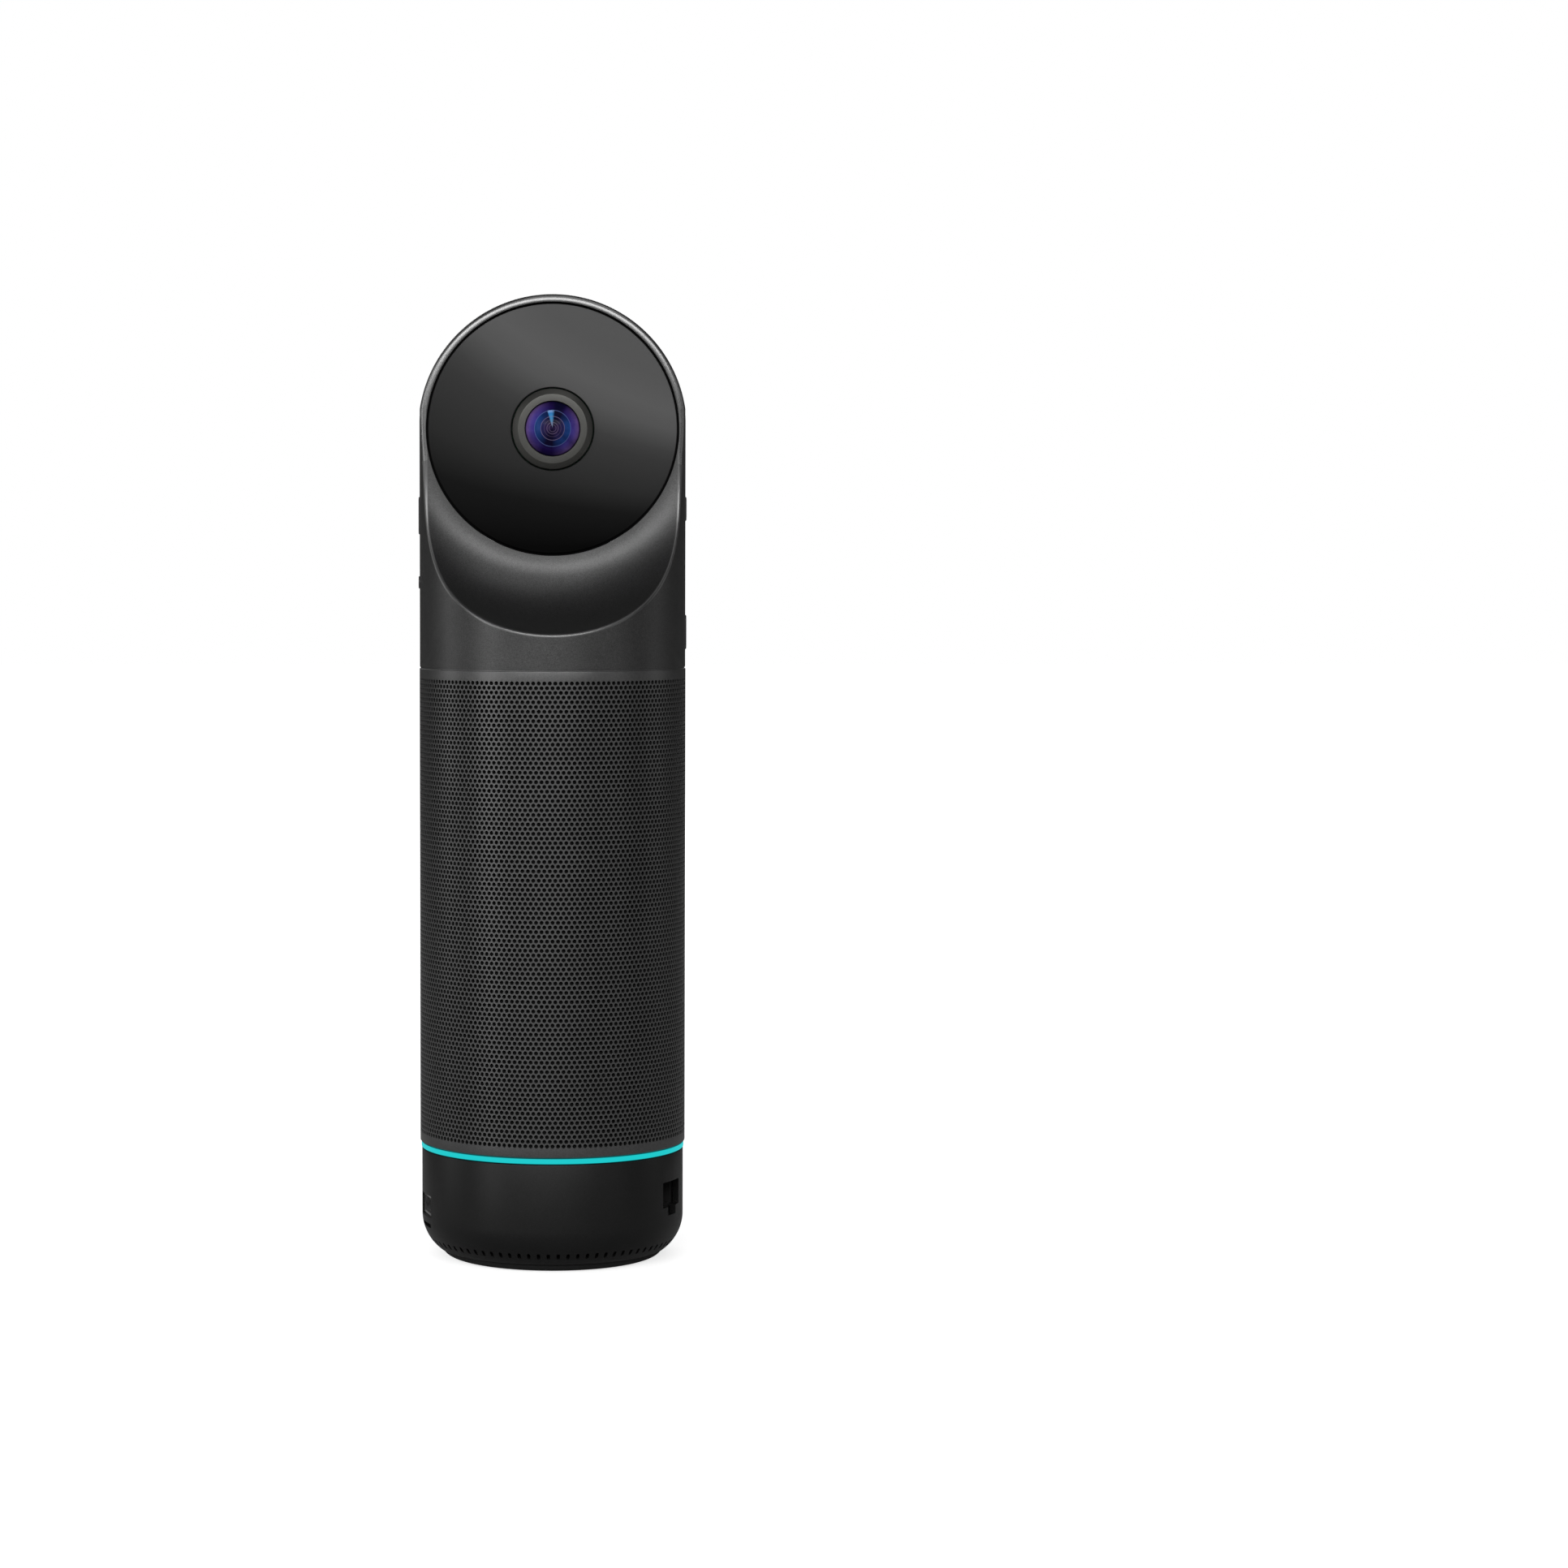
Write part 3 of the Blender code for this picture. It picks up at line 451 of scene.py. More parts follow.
def coated_glass():
    """The lens: a violet coating with a blue ring inside it and the rims of the elements behind, lit and unlit
    copies of the coating mixed as painted light on its sides and lower right, a blue fan of painted reflection,
    and a painted dark reflection beside the fan.
    """
    n = Nodes("coated_glass")
    x, _, z = n.axes()
    up, out = n.from_lens_axis(x, z)
    reach = n.math("DIVIDE", out, LENS_RADIUS * MM)
    turn = n.math("MULTIPLY", n.math("ARCTAN2", x, up), 180 / pi)
    lit = n.ramp(
        reach,
        (0.0, (0.02, 0.012, 0.05)),
        (0.2, (0.035, 0.018, 0.075)),
        (0.42, (0.02, 0.022, 0.1)),
        (0.45, (0.015, 0.05, 0.21)),
        (0.63, (0.014, 0.06, 0.24)),
        (0.67, (0.05, 0.042, 0.27)),
        (0.8, (0.09, 0.06, 0.31)),
        (0.94, (0.17, 0.1, 0.32)),
        (1.0, (0.05, 0.03, 0.12)),
    )
    unlit = n.ramp(
        reach,
        (0.0, (0.006, 0.003, 0.02)),
        (0.6, (0.004, 0.003, 0.022)),
        (0.75, (0.014, 0.006, 0.07)),
        (1.0, (0.008, 0.003, 0.035)),
    )

    def near(direction, inner, outer):
        """1 within inner degrees of a direction from the lens axis, and 0 beyond outer degrees."""
        limits = {0: turn, 1: direction + 180.0, 2: direction - 180.0}
        wrapped = n.add("ShaderNodeMath", limits, operation="WRAP").outputs[0]
        away = n.math("ABSOLUTE", n.math("SUBTRACT", wrapped, direction))
        return n.map_range(away, inner, outer, 1.0, 0.0)

    # Painted light: the lit copy of the coating on the left and right sides and at the lower right, the unlit
    # copy elsewhere.
    sides = n.math("MAXIMUM", near(-80.0, 15.0, 75.0), near(90.0, 15.0, 60.0))
    low_right = n.math("MULTIPLY", near(142.0, 5.0, 40.0), 0.75)
    cloud = n.map_range(n.noise(3.5, detail=3.0), 0.35, 0.65, 0.7, 1.1)
    painted_light_patches = n.math("MULTIPLY", n.math("MAXIMUM", sides, low_right), cloud, clamp=True)
    body = n.mix(painted_light_patches, unlit, lit)

    # Painted reflection: a blue fan from the middle up to the blue ring, just left of up.
    inside = n.map_range(reach, 0.66, 0.67, 1.0, 0.0)
    painted_reflection_fan = n.math("MULTIPLY", near(-5.0, 9.0, 13.0), inside)
    fan_colour = n.ramp(
        reach,
        (0.0, (0.12, 0.1, 0.22)),
        (0.12, (0.2, 0.25, 0.4)),
        (0.25, (0.08, 0.24, 0.45)),
        (0.42, (0.05, 0.28, 0.6)),
        (0.55, (0.04, 0.22, 0.55)),
        (0.64, (0.25, 0.42, 0.75)),
    )
    body = n.mix(painted_reflection_fan, body, fan_colour)
    # Painted dark reflection: a near black wedge right of the fan.
    shade = n.math("MULTIPLY", near(17.0, 8.0, 20.0), 0.9)
    body = n.mix(shade, body, (0.003, 0.003, 0.02, 1.0))

    black, white = grey(0.0), grey(1.0)
    rims = n.ramp(
        reach,
        (0.1, black),
        (0.125, grey(0.5)),
        (0.15, black),
        (0.185, black),
        (0.205, grey(0.8)),
        (0.225, black),
        (0.29, black),
        (0.305, grey(0.4)),
        (0.32, black),
        (0.41, black),
        (0.43, white),
        (0.45, black),
        (0.635, black),
        (0.655, white),
        (0.675, black),
    )
    rim_colour = n.ramp(reach, (0.4, (0.2, 0.15, 0.26)), (0.7, (0.1, 0.16, 0.42)))
    body = n.mix(n.math("MULTIPLY", rims, 0.75), body, rim_colour)
    return n.set(Base_Color=body, Roughness=0.2, Specular_IOR_Level=0.05).material


paint = grained("head_paint", 0.09, 0.42, 0.9, contrast=0.4, bump=0.35)
# Lighter, glossier copies of the head's paint for its rims: partly a polished edge and partly painted
# highlight.
edge_paint = grained("polished_edge_painted_highlight", 0.21, 0.3, 0.9, contrast=0.08, bump=0.03)
low_edge_painted_highlight = grained("low_edge_painted_highlight", 0.14, 0.34, 0.9, contrast=0.1, bump=0.05)
base_paint = grained("base_paint", 0.021, 0.42, 0.7, contrast=0.2, bump=0.15)
face_finish = satin_face()
ring_finish = grained(
    "lens_ring_paint", 0.095, 0.4, 0.8, grain=0.12, contrast=0.12, bump=0.1, tint=(1.0, 1.0, 0.94)
)
sheet = grained("sleeve_paint", 0.135, 0.4, 0.9, grain=0.3, contrast=0.2)
glass = coated_glass()
teal = glowing_ring()
button_finish = moulded("button_plastic", grey(0.03), 0.4)
rubber = moulded("black_rubber", grey(0.008), 0.75, size=0.8, bump=0.3)
plastic = moulded("black_plastic", grey(0.018), 0.5)
steel = metal("plated_steel", grey(0.55), 0.3)
aluminium = metal("aluminium", grey(0.6), 0.4)
brass = metal("brass", (0.75, 0.52, 0.22), 0.3)
cone_paper = moulded("cone_paper", grey(0.03), 0.8, size=0.3, bump=0.4)
cloth = woven("acoustic_cloth", (0.006, 0.006, 0.006))
board = circuit_board()

SLOT_MATERIALS = {
    "shell": paint,
    "base": base_paint,
    "face": face_finish,
    "lens_ring": ring_finish,
    "lens_glass": glass,
    "grille": sheet,
    "cloth": cloth,
    "light": teal,
    "buttons": button_finish,
    "rubber": rubber,
    "plastic": plastic,
    "circuit_board": board,
    "steel": steel,
    "aluminium": aluminium,
    "brass": brass,
    "cone": cone_paper,
}


def dress_frame():
    """Every CAD node that stays takes the full material of its slot."""
    slots = {item["node"]: item["material_slot"] for item in frame["record"]["subparts"]}
    for name, node in frame["nodes"].items():
        node.data.materials.clear()
        node.data.materials.append(SLOT_MATERIALS[slots[name]])


# ---------------------------------------------------------------- perforated sleeve

HOLE_ROWS = 100
HOLES_ROUND = 156
HOLE_RADIUS = 0.69
HOLE_SIDES = 12
FIRST_ROW = 3.9  # above the sleeve's lower edge
LAST_ROW = 4.0  # below its upper edge
SECTORS = 6
SLEEVE_INNER = GRILLE_RADIUS - 0.8
SLEEVE_ROUNDING = 0.2  # of the sleeve's two edges
SEAM_LIP = 0.4  # a lip inside the sleeve's upper edge, which closes the seam under the neck
SEAM_LIP_WIDTH = 0.45

TURN = 2 * pi / HOLES_ROUND
HALF_STEPS = 2 * HOLES_ROUND
FIRST_Z = grille_low.z + FIRST_ROW
PITCH = (grille_high.z - LAST_ROW - FIRST_Z) / (HOLE_ROWS - 1)


def ring_triangles(outer_angles, inner_angles):
    """Triangles between two loops round a centre, as (loop, index) corners, walking both by angle."""
    outer, inner = len(outer_angles), len(inner_angles)
    i = j = 0
    found = []
    while i < outer or j < inner:
        next_outer = outer_angles[(i + 1) % outer] + 2 * pi * ((i + 1) // outer) if i < outer else FAR
        next_inner = inner_angles[(j + 1) % inner] + 2 * pi * ((j + 1) // inner) if j < inner else FAR
        if next_outer <= next_inner:
            found.append((i % outer, (i + 1) % outer, outer + j % inner))
            i += 1
        else:
            found.append((i % outer, outer + (j + 1) % inner, outer + j % inner))
            j += 1
    return np.array(found)


def on_sleeve(angle, z, radius):
    return np.stack([radius * np.sin(angle), -radius * np.cos(angle), z], axis=-1)


def zigzag(line):
    """The corners that the rows under and over a line share: (angle, height)."""
    k = np.arange(HALF_STEPS)
    middle = FIRST_Z + (line - 0.5) * PITCH
    return k * TURN / 2, middle + np.where((k - line) % 2 == 0, -PITCH / 6, PITCH / 6)


def make_hole_field(lines):
    """A six-sided cell of sheet round each hole, and the holes' walls, in sectors."""
    angles = np.concatenate([angle for angle, _ in lines])
    heights = np.concatenate([height for _, height in lines])
    row, column = np.meshgrid(np.arange(HOLE_ROWS), np.arange(HOLES_ROUND), indexing="ij")
    row, column = row.ravel(), column.ravel()
    middle_k = 2 * column + row % 2

    def corner(line, k):
        return line * HALF_STEPS + k % HALF_STEPS

    # Counter-clockwise seen from outside, starting at the right: six corners of each cell.
    above = [corner(row + 1, middle_k + step) for step in (1, 0, -1)]
    below = [corner(row, middle_k + step) for step in (-1, 0, 1)]
    hexagon = np.stack(above + below, axis=1)
    rim = (np.arange(HOLE_SIDES) + 0.5) * 2 * pi / HOLE_SIDES
    hole_angle = (middle_k * TURN / 2)[:, None] + HOLE_RADIUS * np.cos(rim) / GRILLE_RADIUS
    hole_height = (FIRST_Z + row * PITCH)[:, None] + HOLE_RADIUS * np.sin(rim)
    hole = len(angles) + np.arange(len(row) * HOLE_SIDES).reshape(-1, HOLE_SIDES)

    all_angles = np.concatenate([angles, hole_angle.ravel()])
    all_heights = np.concatenate([heights, hole_height.ravel()])
    outside = on_sleeve(all_angles, all_heights, GRILLE_RADIUS)
    inside = on_sleeve(all_angles, all_heights, SLEEVE_INNER)
    points = np.concatenate([outside, inside])
    deeper = len(outside)

    first_corner = atan2(PITCH / 3, TURN * GRILLE_RADIUS / 2)
    cell_angles = [first_corner, pi / 2, pi - first_corner]
    cell_angles += [pi + first_corner, 3 * pi / 2, 2 * pi - first_corner]
    skin = np.concatenate([hexagon, hole], axis=1)[:, ring_triangles(cell_angles, list(rim))]
    following = np.roll(hole, -1, axis=1)
    walls = np.stack([hole, following, following + deeper, hole + deeper], axis=-1)

    for sector in range(SECTORS):
        mine = column * SECTORS // HOLES_ROUND == sector
        outer_skin = skin[mine].reshape(-1, 3)
        triangles = np.concatenate([outer_skin, (outer_skin + deeper)[:, ::-1]])
        quads = walls[mine].reshape(-1, 4)
        corners = np.concatenate([triangles.ravel(), quads.ravel()])
        used, index = np.unique(corners, return_inverse=True)
        index = index.ravel()
        name = f"grille_field_{sector + 1}"
        triangles, quads = index[: triangles.size].reshape(-1, 3), index[triangles.size :].reshape(-1, 4)
        mesh = mesh_from(name, points[used], triangles, quads)
        smooth(mesh, 40)
        show(name, mesh, sheet, replaces="grille")


def make_band(name, line, edge, toward, inner_edge):
    """A plain band from a line of corners to the sleeve's edge, over it and back down the inside.

    The inner edge is a list of (radius, height above the edge).
    """
    angle, height = line
    rings = [on_sleeve(angle, height, GRILLE_RADIUS)]
    for k in range(5):
        lean = radians(90 * k / 4)
        level = edge - toward * SLEEVE_ROUNDING * (1 - sin(lean))
        radius = GRILLE_RADIUS - SLEEVE_ROUNDING * (1 - cos(lean))
        rings.append(on_sleeve(angle, np.full(HALF_STEPS, level), radius))
    for radius, lift in inner_edge:
        rings.append(on_sleeve(angle, np.full(HALF_STEPS, edge + lift), radius))
    rings.append(on_sleeve(angle, height, SLEEVE_INNER))
    count = len(rings)
    k, r = np.meshgrid(np.arange(HALF_STEPS), np.arange(count), indexing="ij")
    k, r = k.ravel(), r.ravel()
    k2, r2 = (k + 1) % HALF_STEPS, (r + 1) % count
    ends = [(r, k), (r, k2), (r2, k2), (r2, k)]
    quads = np.stack([ring * HALF_STEPS + step for ring, step in ends], axis=1)
    if toward < 0:
        quads = quads[:, ::-1]
    mesh = mesh_from(name, np.concatenate(rings), quads)
    smooth(mesh, 40)
    show(name, mesh, sheet, replaces="grille")


def make_sleeve():
    """The hole field, and a plain band at each end of it."""
    lines = [zigzag(line) for line in range(HOLE_ROWS + 1)]
    make_hole_field(lines)
    lip = SLEEVE_INNER + SEAM_LIP_WIDTH
    upper_edge = [(lip, 0.0), (lip, SEAM_LIP), (SLEEVE_INNER, SEAM_LIP)]
    make_band("grille_top_band", lines[HOLE_ROWS], grille_high.z, 1, upper_edge)
    make_band("grille_bottom_band", lines[0], grille_low.z, -1, [(SLEEVE_INNER, 0.0)])


# ---------------------------------------------------------------- head shell

SCOOP_START = 43.0
SCOOP_WIDTH = 26.9
SCOOP_DEPTH = 40.0
SCOOP_LIMIT = 0.999  # of the scoop's width, short of where it stands upright
RIM_ROUNDING = 2.3
RIM_SLOPE = 0.13
RIM_SIDE_SHARE = 1.05
EDGE_ROUNDING = 1.2
SLAB_HALF_WIDTH = 45.5
SHELL_THICKNESS = 1.1
FACE_POINTS, CORNER_POINTS, SIDE_POINTS = 19, 8, 25
SHOULDER_STEPS, NECK_STEPS = 100, 28  # of each half, round the arch and under it
BUTTON_GAP = 0.5  # of a button's opening, over its whole width

# Degrees from up, on either side:
RIM_END, RIM_FADE = 88, 34  # where the face's rim starts to become the scoop's edge, and how far it takes
SLAB_END, SLAB_FADE = 118, 38  # where the flat slab has become the round neck, and how far it takes
LOW_EDGE_START = 104  # where the face's rim has become the scoop's edge line


def degrees_of(theta):
    """The angle from up, 0 to 180 on either side."""
    theta = theta % (2 * pi)
    return min(theta, 2 * pi - theta) * 180 / pi


def eased(share):
    """A share kept between 0 and 1, which leaves both ends gently."""
    share = min(max(share, 0.0), 1.0)
    return share * share * (3 - 2 * share)


def scoop_depth(reach):
    """How far in front of the middle plane the head's surface is, at a distance from the lens axis."""
    step = max(reach - SCOOP_START, 0.0) / SCOOP_WIDTH
    return FACE_Y + SCOOP_DEPTH * (1 - sqrt(max(1 - step * step, 0.0)))


def head_section(theta):
    """Points (reach, depth) from the face's edge to the middle plane or the neck's end, at an angle from up."""
    face_edge = FACE_RADIUS + FACE_GAP
    side, fall = abs(sin(theta)), cos(theta)
    arch = GRILLE_RADIUS

    square = eased((SLAB_END - degrees_of(theta)) / SLAB_FADE)  # 1 on the flat slab, 0 on the round neck

    def half_width(depth):
        neck = sqrt(max(HEAD_RADIUS**2 - depth**2, 0.0))
        return neck + max(SLAB_HALF_WIDTH - neck, 0.0) * square

    def outer(depth):
        reach = half_width(depth) / side if side > 1e-9 else FAR
        return min(reach, arch) if fall >= 0 else reach

    def is_outside(reach):
        if fall >= 0 and reach > arch:
            return True
        return reach * side > half_width(scoop_depth(reach))

    near, far = face_edge, SCOOP_START + SCOOP_LIMIT * SCOOP_WIDTH
    for _ in range(50):
        middle = (near + far) / 2
        near, far = (near, middle) if is_outside(middle) else (middle, far)
    edge = near
    blend = eased((degrees_of(theta) - RIM_END) / RIM_FADE)
    width = min(RIM_ROUNDING + (EDGE_ROUNDING - RIM_ROUNDING) * blend, 0.96 * (edge - face_edge))

    lean_start = asin(max(face_edge - SCOOP_START, 0) / SCOOP_WIDTH)
    slope = hypot(1.0, (scoop_depth(edge) - scoop_depth(edge - 0.01)) / 0.01)
    face_end = max(edge - width / slope, face_edge + 0.01)
    lean_end = asin((face_end - SCOOP_START) / SCOOP_WIDTH)
    points = []
    for k in range(FACE_POINTS):
        reach = SCOOP_START + SCOOP_WIDTH * sin(lean_start + (lean_end - lean_start) * k / (FACE_POINTS - 1))
        points.append((reach, scoop_depth(reach)))

    depth = scoop_depth(edge)
    bottom = (LENS_Z - HEAD_BOTTOM) / -fall if fall < 0 else FAR
    if side < 1e-6 and fall < 0:
        start = edge + width
        rest = [(start + (bottom - start) * k / (SIDE_POINTS - 1), HEAD_RADIUS) for k in range(SIDE_POINTS)]
    else:

        def on_side(turn):
            return outer(HEAD_RADIUS * sin(turn)), HEAD_RADIUS * sin(turn)

        top_turn = asin(min(depth / HEAD_RADIUS, 1.0))
        side_share = RIM_SIDE_SHARE + (1 - RIM_SIDE_SHARE) * blend
        low_turn, high_turn = 0.0, top_turn
        for _ in range(60):
            turn = (low_turn + high_turn) / 2
            reach, here = on_side(turn)
            if hypot(reach - edge, here - depth) > width * side_share:
                low_turn = turn
            else:
                high_turn = turn
        last = acos(min(bottom * side / HEAD_RADIUS, 1.0)) if fall < 0 else 0.0
        turns = [high_turn + (last - high_turn) * k / (SIDE_POINTS - 1) for k in range(SIDE_POINTS)]
        rest = [on_side(turn) for turn in turns]
    # The round corner is a cubic curve. On the rim round the face it starts with a shallow slope outwards.
    start, corner, end = Vector(points[-1]), Vector((edge, depth)), Vector(rest[0])
    lean_in = start.lerp(corner, 0.7) - Vector((0.0, RIM_SLOPE * width * (1 - blend)))
    lean_out = end.lerp(corner, 0.7)
    for k in range(1, CORNER_POINTS + 1):
        t = k / (CORNER_POINTS + 1)
        spot = start * (1 - t) ** 3 + lean_in * 3 * t * (1 - t) ** 2
        spot += lean_out * 3 * t * t * (1 - t) + end * t**3
        points.append((spot.x, spot.y))
    return points + rest


def make_head_shell():
    corner = pi - atan2(HEAD_RADIUS, LENS_Z - HEAD_BOTTOM)  # where the middle plane meets the neck's end
    half = [corner * k / SHOULDER_STEPS for k in range(SHOULDER_STEPS + 1)]
    half += [corner + (pi - corner) * k / NECK_STEPS for k in range(1, NECK_STEPS + 1)]
    thetas = half + [2 * pi - theta for theta in half[-2:0:-1]]
    sections = np.array([head_section(theta) for theta in thetas])
    turns, count = len(thetas), sections.shape[1]
    direction = np.array([(sin(theta), cos(theta)) for theta in thetas])
    reach, depth = sections[..., 0], sections[..., 1]
    x, z = reach * direction[:, :1], LENS_Z + reach * direction[:, 1:]
    points = np.concatenate([np.stack([x, side * depth, z], axis=-1).reshape(-1, 3) for side in (-1, 1)])
    i, j = np.meshgrid(np.arange(turns), np.arange(count - 1), indexing="ij")
    i, j = i.ravel(), j.ravel()
    i2 = (i + 1) % turns
    quads = np.stack([i * count + j, i2 * count + j, i2 * count + j + 1, i * count + j + 1], axis=1)
    mesh = mesh_from("head_shell", points, np.concatenate([quads, quads[:, ::-1] + turns * count]))
    on_edge = (j >= FACE_POINTS - 1) & (j < FACE_POINTS + CORNER_POINTS)
    low_edge = np.array([degrees_of(theta) for theta in thetas])[i] > LOW_EDGE_START
    # The inner half of the rim round the face, and the scoop's edge line, take the lighter paints: partly a
    # polished edge and partly painted highlight.
    rim_highlight_band = on_edge & ~low_edge & (j < FACE_POINTS + CORNER_POINTS // 2)
    for finish in (paint, edge_paint, low_edge_painted_highlight):
        mesh.materials.append(finish)
    finishes = np.tile(rim_highlight_band + 2 * (on_edge & low_edge), 2).astype(np.int32)
    mesh.polygons.foreach_set("material_index", finishes)
    shape = bmesh.new()
    shape.from_mesh(mesh)
    bmesh.ops.remove_doubles(shape, verts=shape.verts, dist=2e-6)
    bmesh.ops.recalc_face_normals(shape, faces=shape.faces)
    shape.to_mesh(mesh)
    shape.free()
    thickness = {"thickness": SHELL_THICKNESS * MM, "offset": -1.0, "use_even_offset": False}
    mesh = with_modifiers(mesh, ("SOLIDIFY", thickness))
    holes = []
    for name in BUTTONS:
        low, high = box_mm(name)
        middle = (low + high) / 2
        outline = pill(high.z - low.z + BUTTON_GAP, high.y - low.y + BUTTON_GAP)
        place = at(middle.x, 0, middle.z) @ about("Z", 90) @ about("X", 90)
        holes.append(prism("hole", outline, 9.0, place))
    mesh = cut(mesh, merged("button_holes", holes))
    smooth(mesh, 38)
    show("head_casing", mesh, paint, replaces="head_shell")


# ---------------------------------------------------------------- face, lens, buttons


FACE_CROWN = 0.5  # how much lower the disc's edge is than its middle
FACE_SIDE = 1.4  # from the disc's middle down to its flange
FACE_BACK = 2.1  # and down to its back
FACE_HOLE = LENS_RING_RADIUS + 0.55
GLASS_RADIUS = LENS_RADIUS - 0.2
GLASS_EDGE_Y = 14.2
GLASS_RIM = 2.0
BEZEL_INNER = GLASS_RADIUS + 0.15
BEZEL_DEPTH = 5.8


def make_face_disc(word, out):
    flange = FACE_RADIUS + FACE_GAP - 0.05  # closes the gap round the disc, behind its face
    corners = [
        (FACE_RADIUS, FACE_Y - FACE_CROWN, 0.9),
        (FACE_RADIUS, FACE_Y - FACE_SIDE, 0.0),
        (flange, FACE_Y - FACE_SIDE, 0.0),
        (flange, FACE_Y - FACE_BACK, 0.0),
        (FACE_HOLE, FACE_Y - FACE_BACK, 0.1),
        (FACE_HOLE, FACE_Y, 0.35),
    ]
    outline = rounded(corners, 6)
    for k in range(1, 12):
        reach = FACE_HOLE + 1.0 + (FACE_RADIUS - 2.4 - FACE_HOLE) * k / 12
        outline.append((reach, FACE_Y - FACE_CROWN * (reach / FACE_RADIUS) ** 2))
    disc = revolve(f"{word}_face", outline, DISC_STEPS)
    show(f"{word}_face", disc, face_finish, replaces=f"{word}_face_disc", matrix=out)


def make_lens_bezel(word, out):
    corners = [
        (BEZEL_INNER + 0.2, LENS_RING_Y, 0.1),
        (LENS_RING_RADIUS - 1.9, LENS_RING_Y - 0.15, 0.2),
        (LENS_RING_RADIUS, LENS_RING_Y - 1.6, 0.2),
        (LENS_RING_RADIUS, LENS_RING_Y - BEZEL_DEPTH, 0.1),
        (BEZEL_INNER, LENS_RING_Y - BEZEL_DEPTH, 0.0),
        (BEZEL_INNER, LENS_RING_Y - 0.3, 0.02),
    ]
    ring = revolve(f"{word}_lens_bezel", rounded(corners, 5), LENS_STEPS)
    show(f"{word}_lens_bezel", ring, ring_finish, replaces=f"{word}_lens_ring", matrix=out)


def make_glass(word, out):
    sag = DOME_Y - GLASS_EDGE_Y
    curve = (GLASS_RADIUS**2 + sag**2) / (2 * sag)
    spread = asin(min(GLASS_RADIUS / curve, 1.0))
    leans = [spread * k / 24 for k in range(25)]
    outline = [(curve * sin(lean), DOME_Y - curve * (1 - cos(lean))) for lean in leans]
    outline += [(GLASS_RADIUS, GLASS_EDGE_Y - GLASS_RIM), (0.0, GLASS_EDGE_Y - GLASS_RIM)]
    element = revolve(f"{word}_glass", outline, LENS_STEPS)
    show(f"{word}_glass", element, glass, replaces=f"{word}_lens_dome", matrix=out)


def make_faces():
    for side, word in ((-1, "front"), (1, "rear")):
        out = looking(side)
        make_face_disc(word, out)
        make_lens_bezel(word, out)
        make_glass(word, out)


def make_buttons():
    for name in BUTTONS:
        low, high = box_mm(name)
        middle = (low + high) / 2
        side = 1 if middle.x > 0 else -1
        outline = pill(high.z - low.z, high.y - low.y, 16)
        place = at(middle.x, 0, middle.z) @ about("Z", 90 * side) @ about("X", 90)
        body = prism(name, outline, high.x - low.x, place)
        edges = {"width": 0.35 * MM, "segments": 4, "limit_method": "ANGLE", "angle_limit": radians(60)}
        body = with_modifiers(body, ("BEVEL", edges))
        smooth(body, 40)
        show(f"{name}_cap", body, button_finish, body=name, replaces=name)


# ---------------------------------------------------------------- base, light ring, foot

FILLET = 15.0
BASE_WALL = 2.2
BASE_FLOOR = 1.9
BASE_HOLE_RADIUS = 36.5
SLOT_COUNT = 80
SLOT_PHASE = 2.58
SLOT_LENGTH = 2.6
SLOT_WIDTH = 1.15
SLOT_Z = 6.2
SLOT_CUT = 7.0
OPENING_CUT = 12.0
OPENING_RADIUS = 44.0  # of the circle on which the openings' cutters stand
JACK_Z = 24.2
JACK_HALF_WIDTH, JACK_HALF_HEIGHT = 6.7, 4.4
LATCH_HALF_WIDTH, LATCH_DROP = 3.2, 2.9
RING_INNER = 40.9
FOOT_HOLE_RADIUS = 7.3
FOOT_FLAT_RADIUS = 33.2
FOOT_CHAMFER = 0.3


def facing(azimuth):
    return about("Z", azimuth)


def opening(outline, azimuth, middle_z):
    """A cutter for a socket's opening."""
    place = facing(azimuth) @ at(y=-OPENING_RADIUS, z=middle_z) @ about("X", 90)
    return prism("opening", outline, OPENING_CUT, place)


def window(width, height, corner):
    """A rectangle with rounded corners."""
    w, h = width / 2, height / 2
    return rounded([(w, h, corner), (-w, h, corner), (-w, -h, corner), (w, -h, corner)], 4)


def jack_outline():
    """The network jack's window with the latch's notch under it."""
    w, h, latch_w, low = JACK_HALF_WIDTH, JACK_HALF_HEIGHT, LATCH_HALF_WIDTH, JACK_HALF_HEIGHT + LATCH_DROP
    jack = [(w, h, 0.4), (-w, h, 0.4), (-w, -h, 0.4), (-latch_w, -h, 0.2), (-latch_w, -low, 0.3)]
    jack += [(latch_w, -low, 0.3), (latch_w, -h, 0.2), (w, -h, 0.4)]
    return rounded(jack, 3)


def azimuth_of(node):
    """The direction that a socket faces, from its middle, and that middle's height."""
    low, high = box_mm(node)
    middle = (low + high) / 2
    return atan2(middle.x, -middle.y) * 180 / pi, middle.z


def fillet_wall(offset, end_z):
    """The base's round lower edge, moved inwards by an offset, from the upright wall down to a height."""
    centre, radius = BASE_RADIUS - FILLET, FILLET - offset
    end = asin((FILLET - end_z) / radius)
    leans = [end * k / 20 for k in range(21)]
    return [(centre + radius * cos(lean), FILLET - radius * sin(lean)) for lean in leans]


def vent_slots():
    lean = asin((FILLET - SLOT_Z) / FILLET)
    out, up = BASE_RADIUS - FILLET + FILLET * cos(lean), FILLET - FILLET * sin(lean)
    slots = []
    for number in range(SLOT_COUNT):
        turn = facing(SLOT_PHASE + number * 360 / SLOT_COUNT)
        place = turn @ at(y=-out, z=up) @ about("X", lean * 180 / pi) @ about("X", 90)
        slots.append(prism("slot", pill(SLOT_LENGTH, SLOT_WIDTH, 6), SLOT_CUT, place))
    return merged("slots", slots)


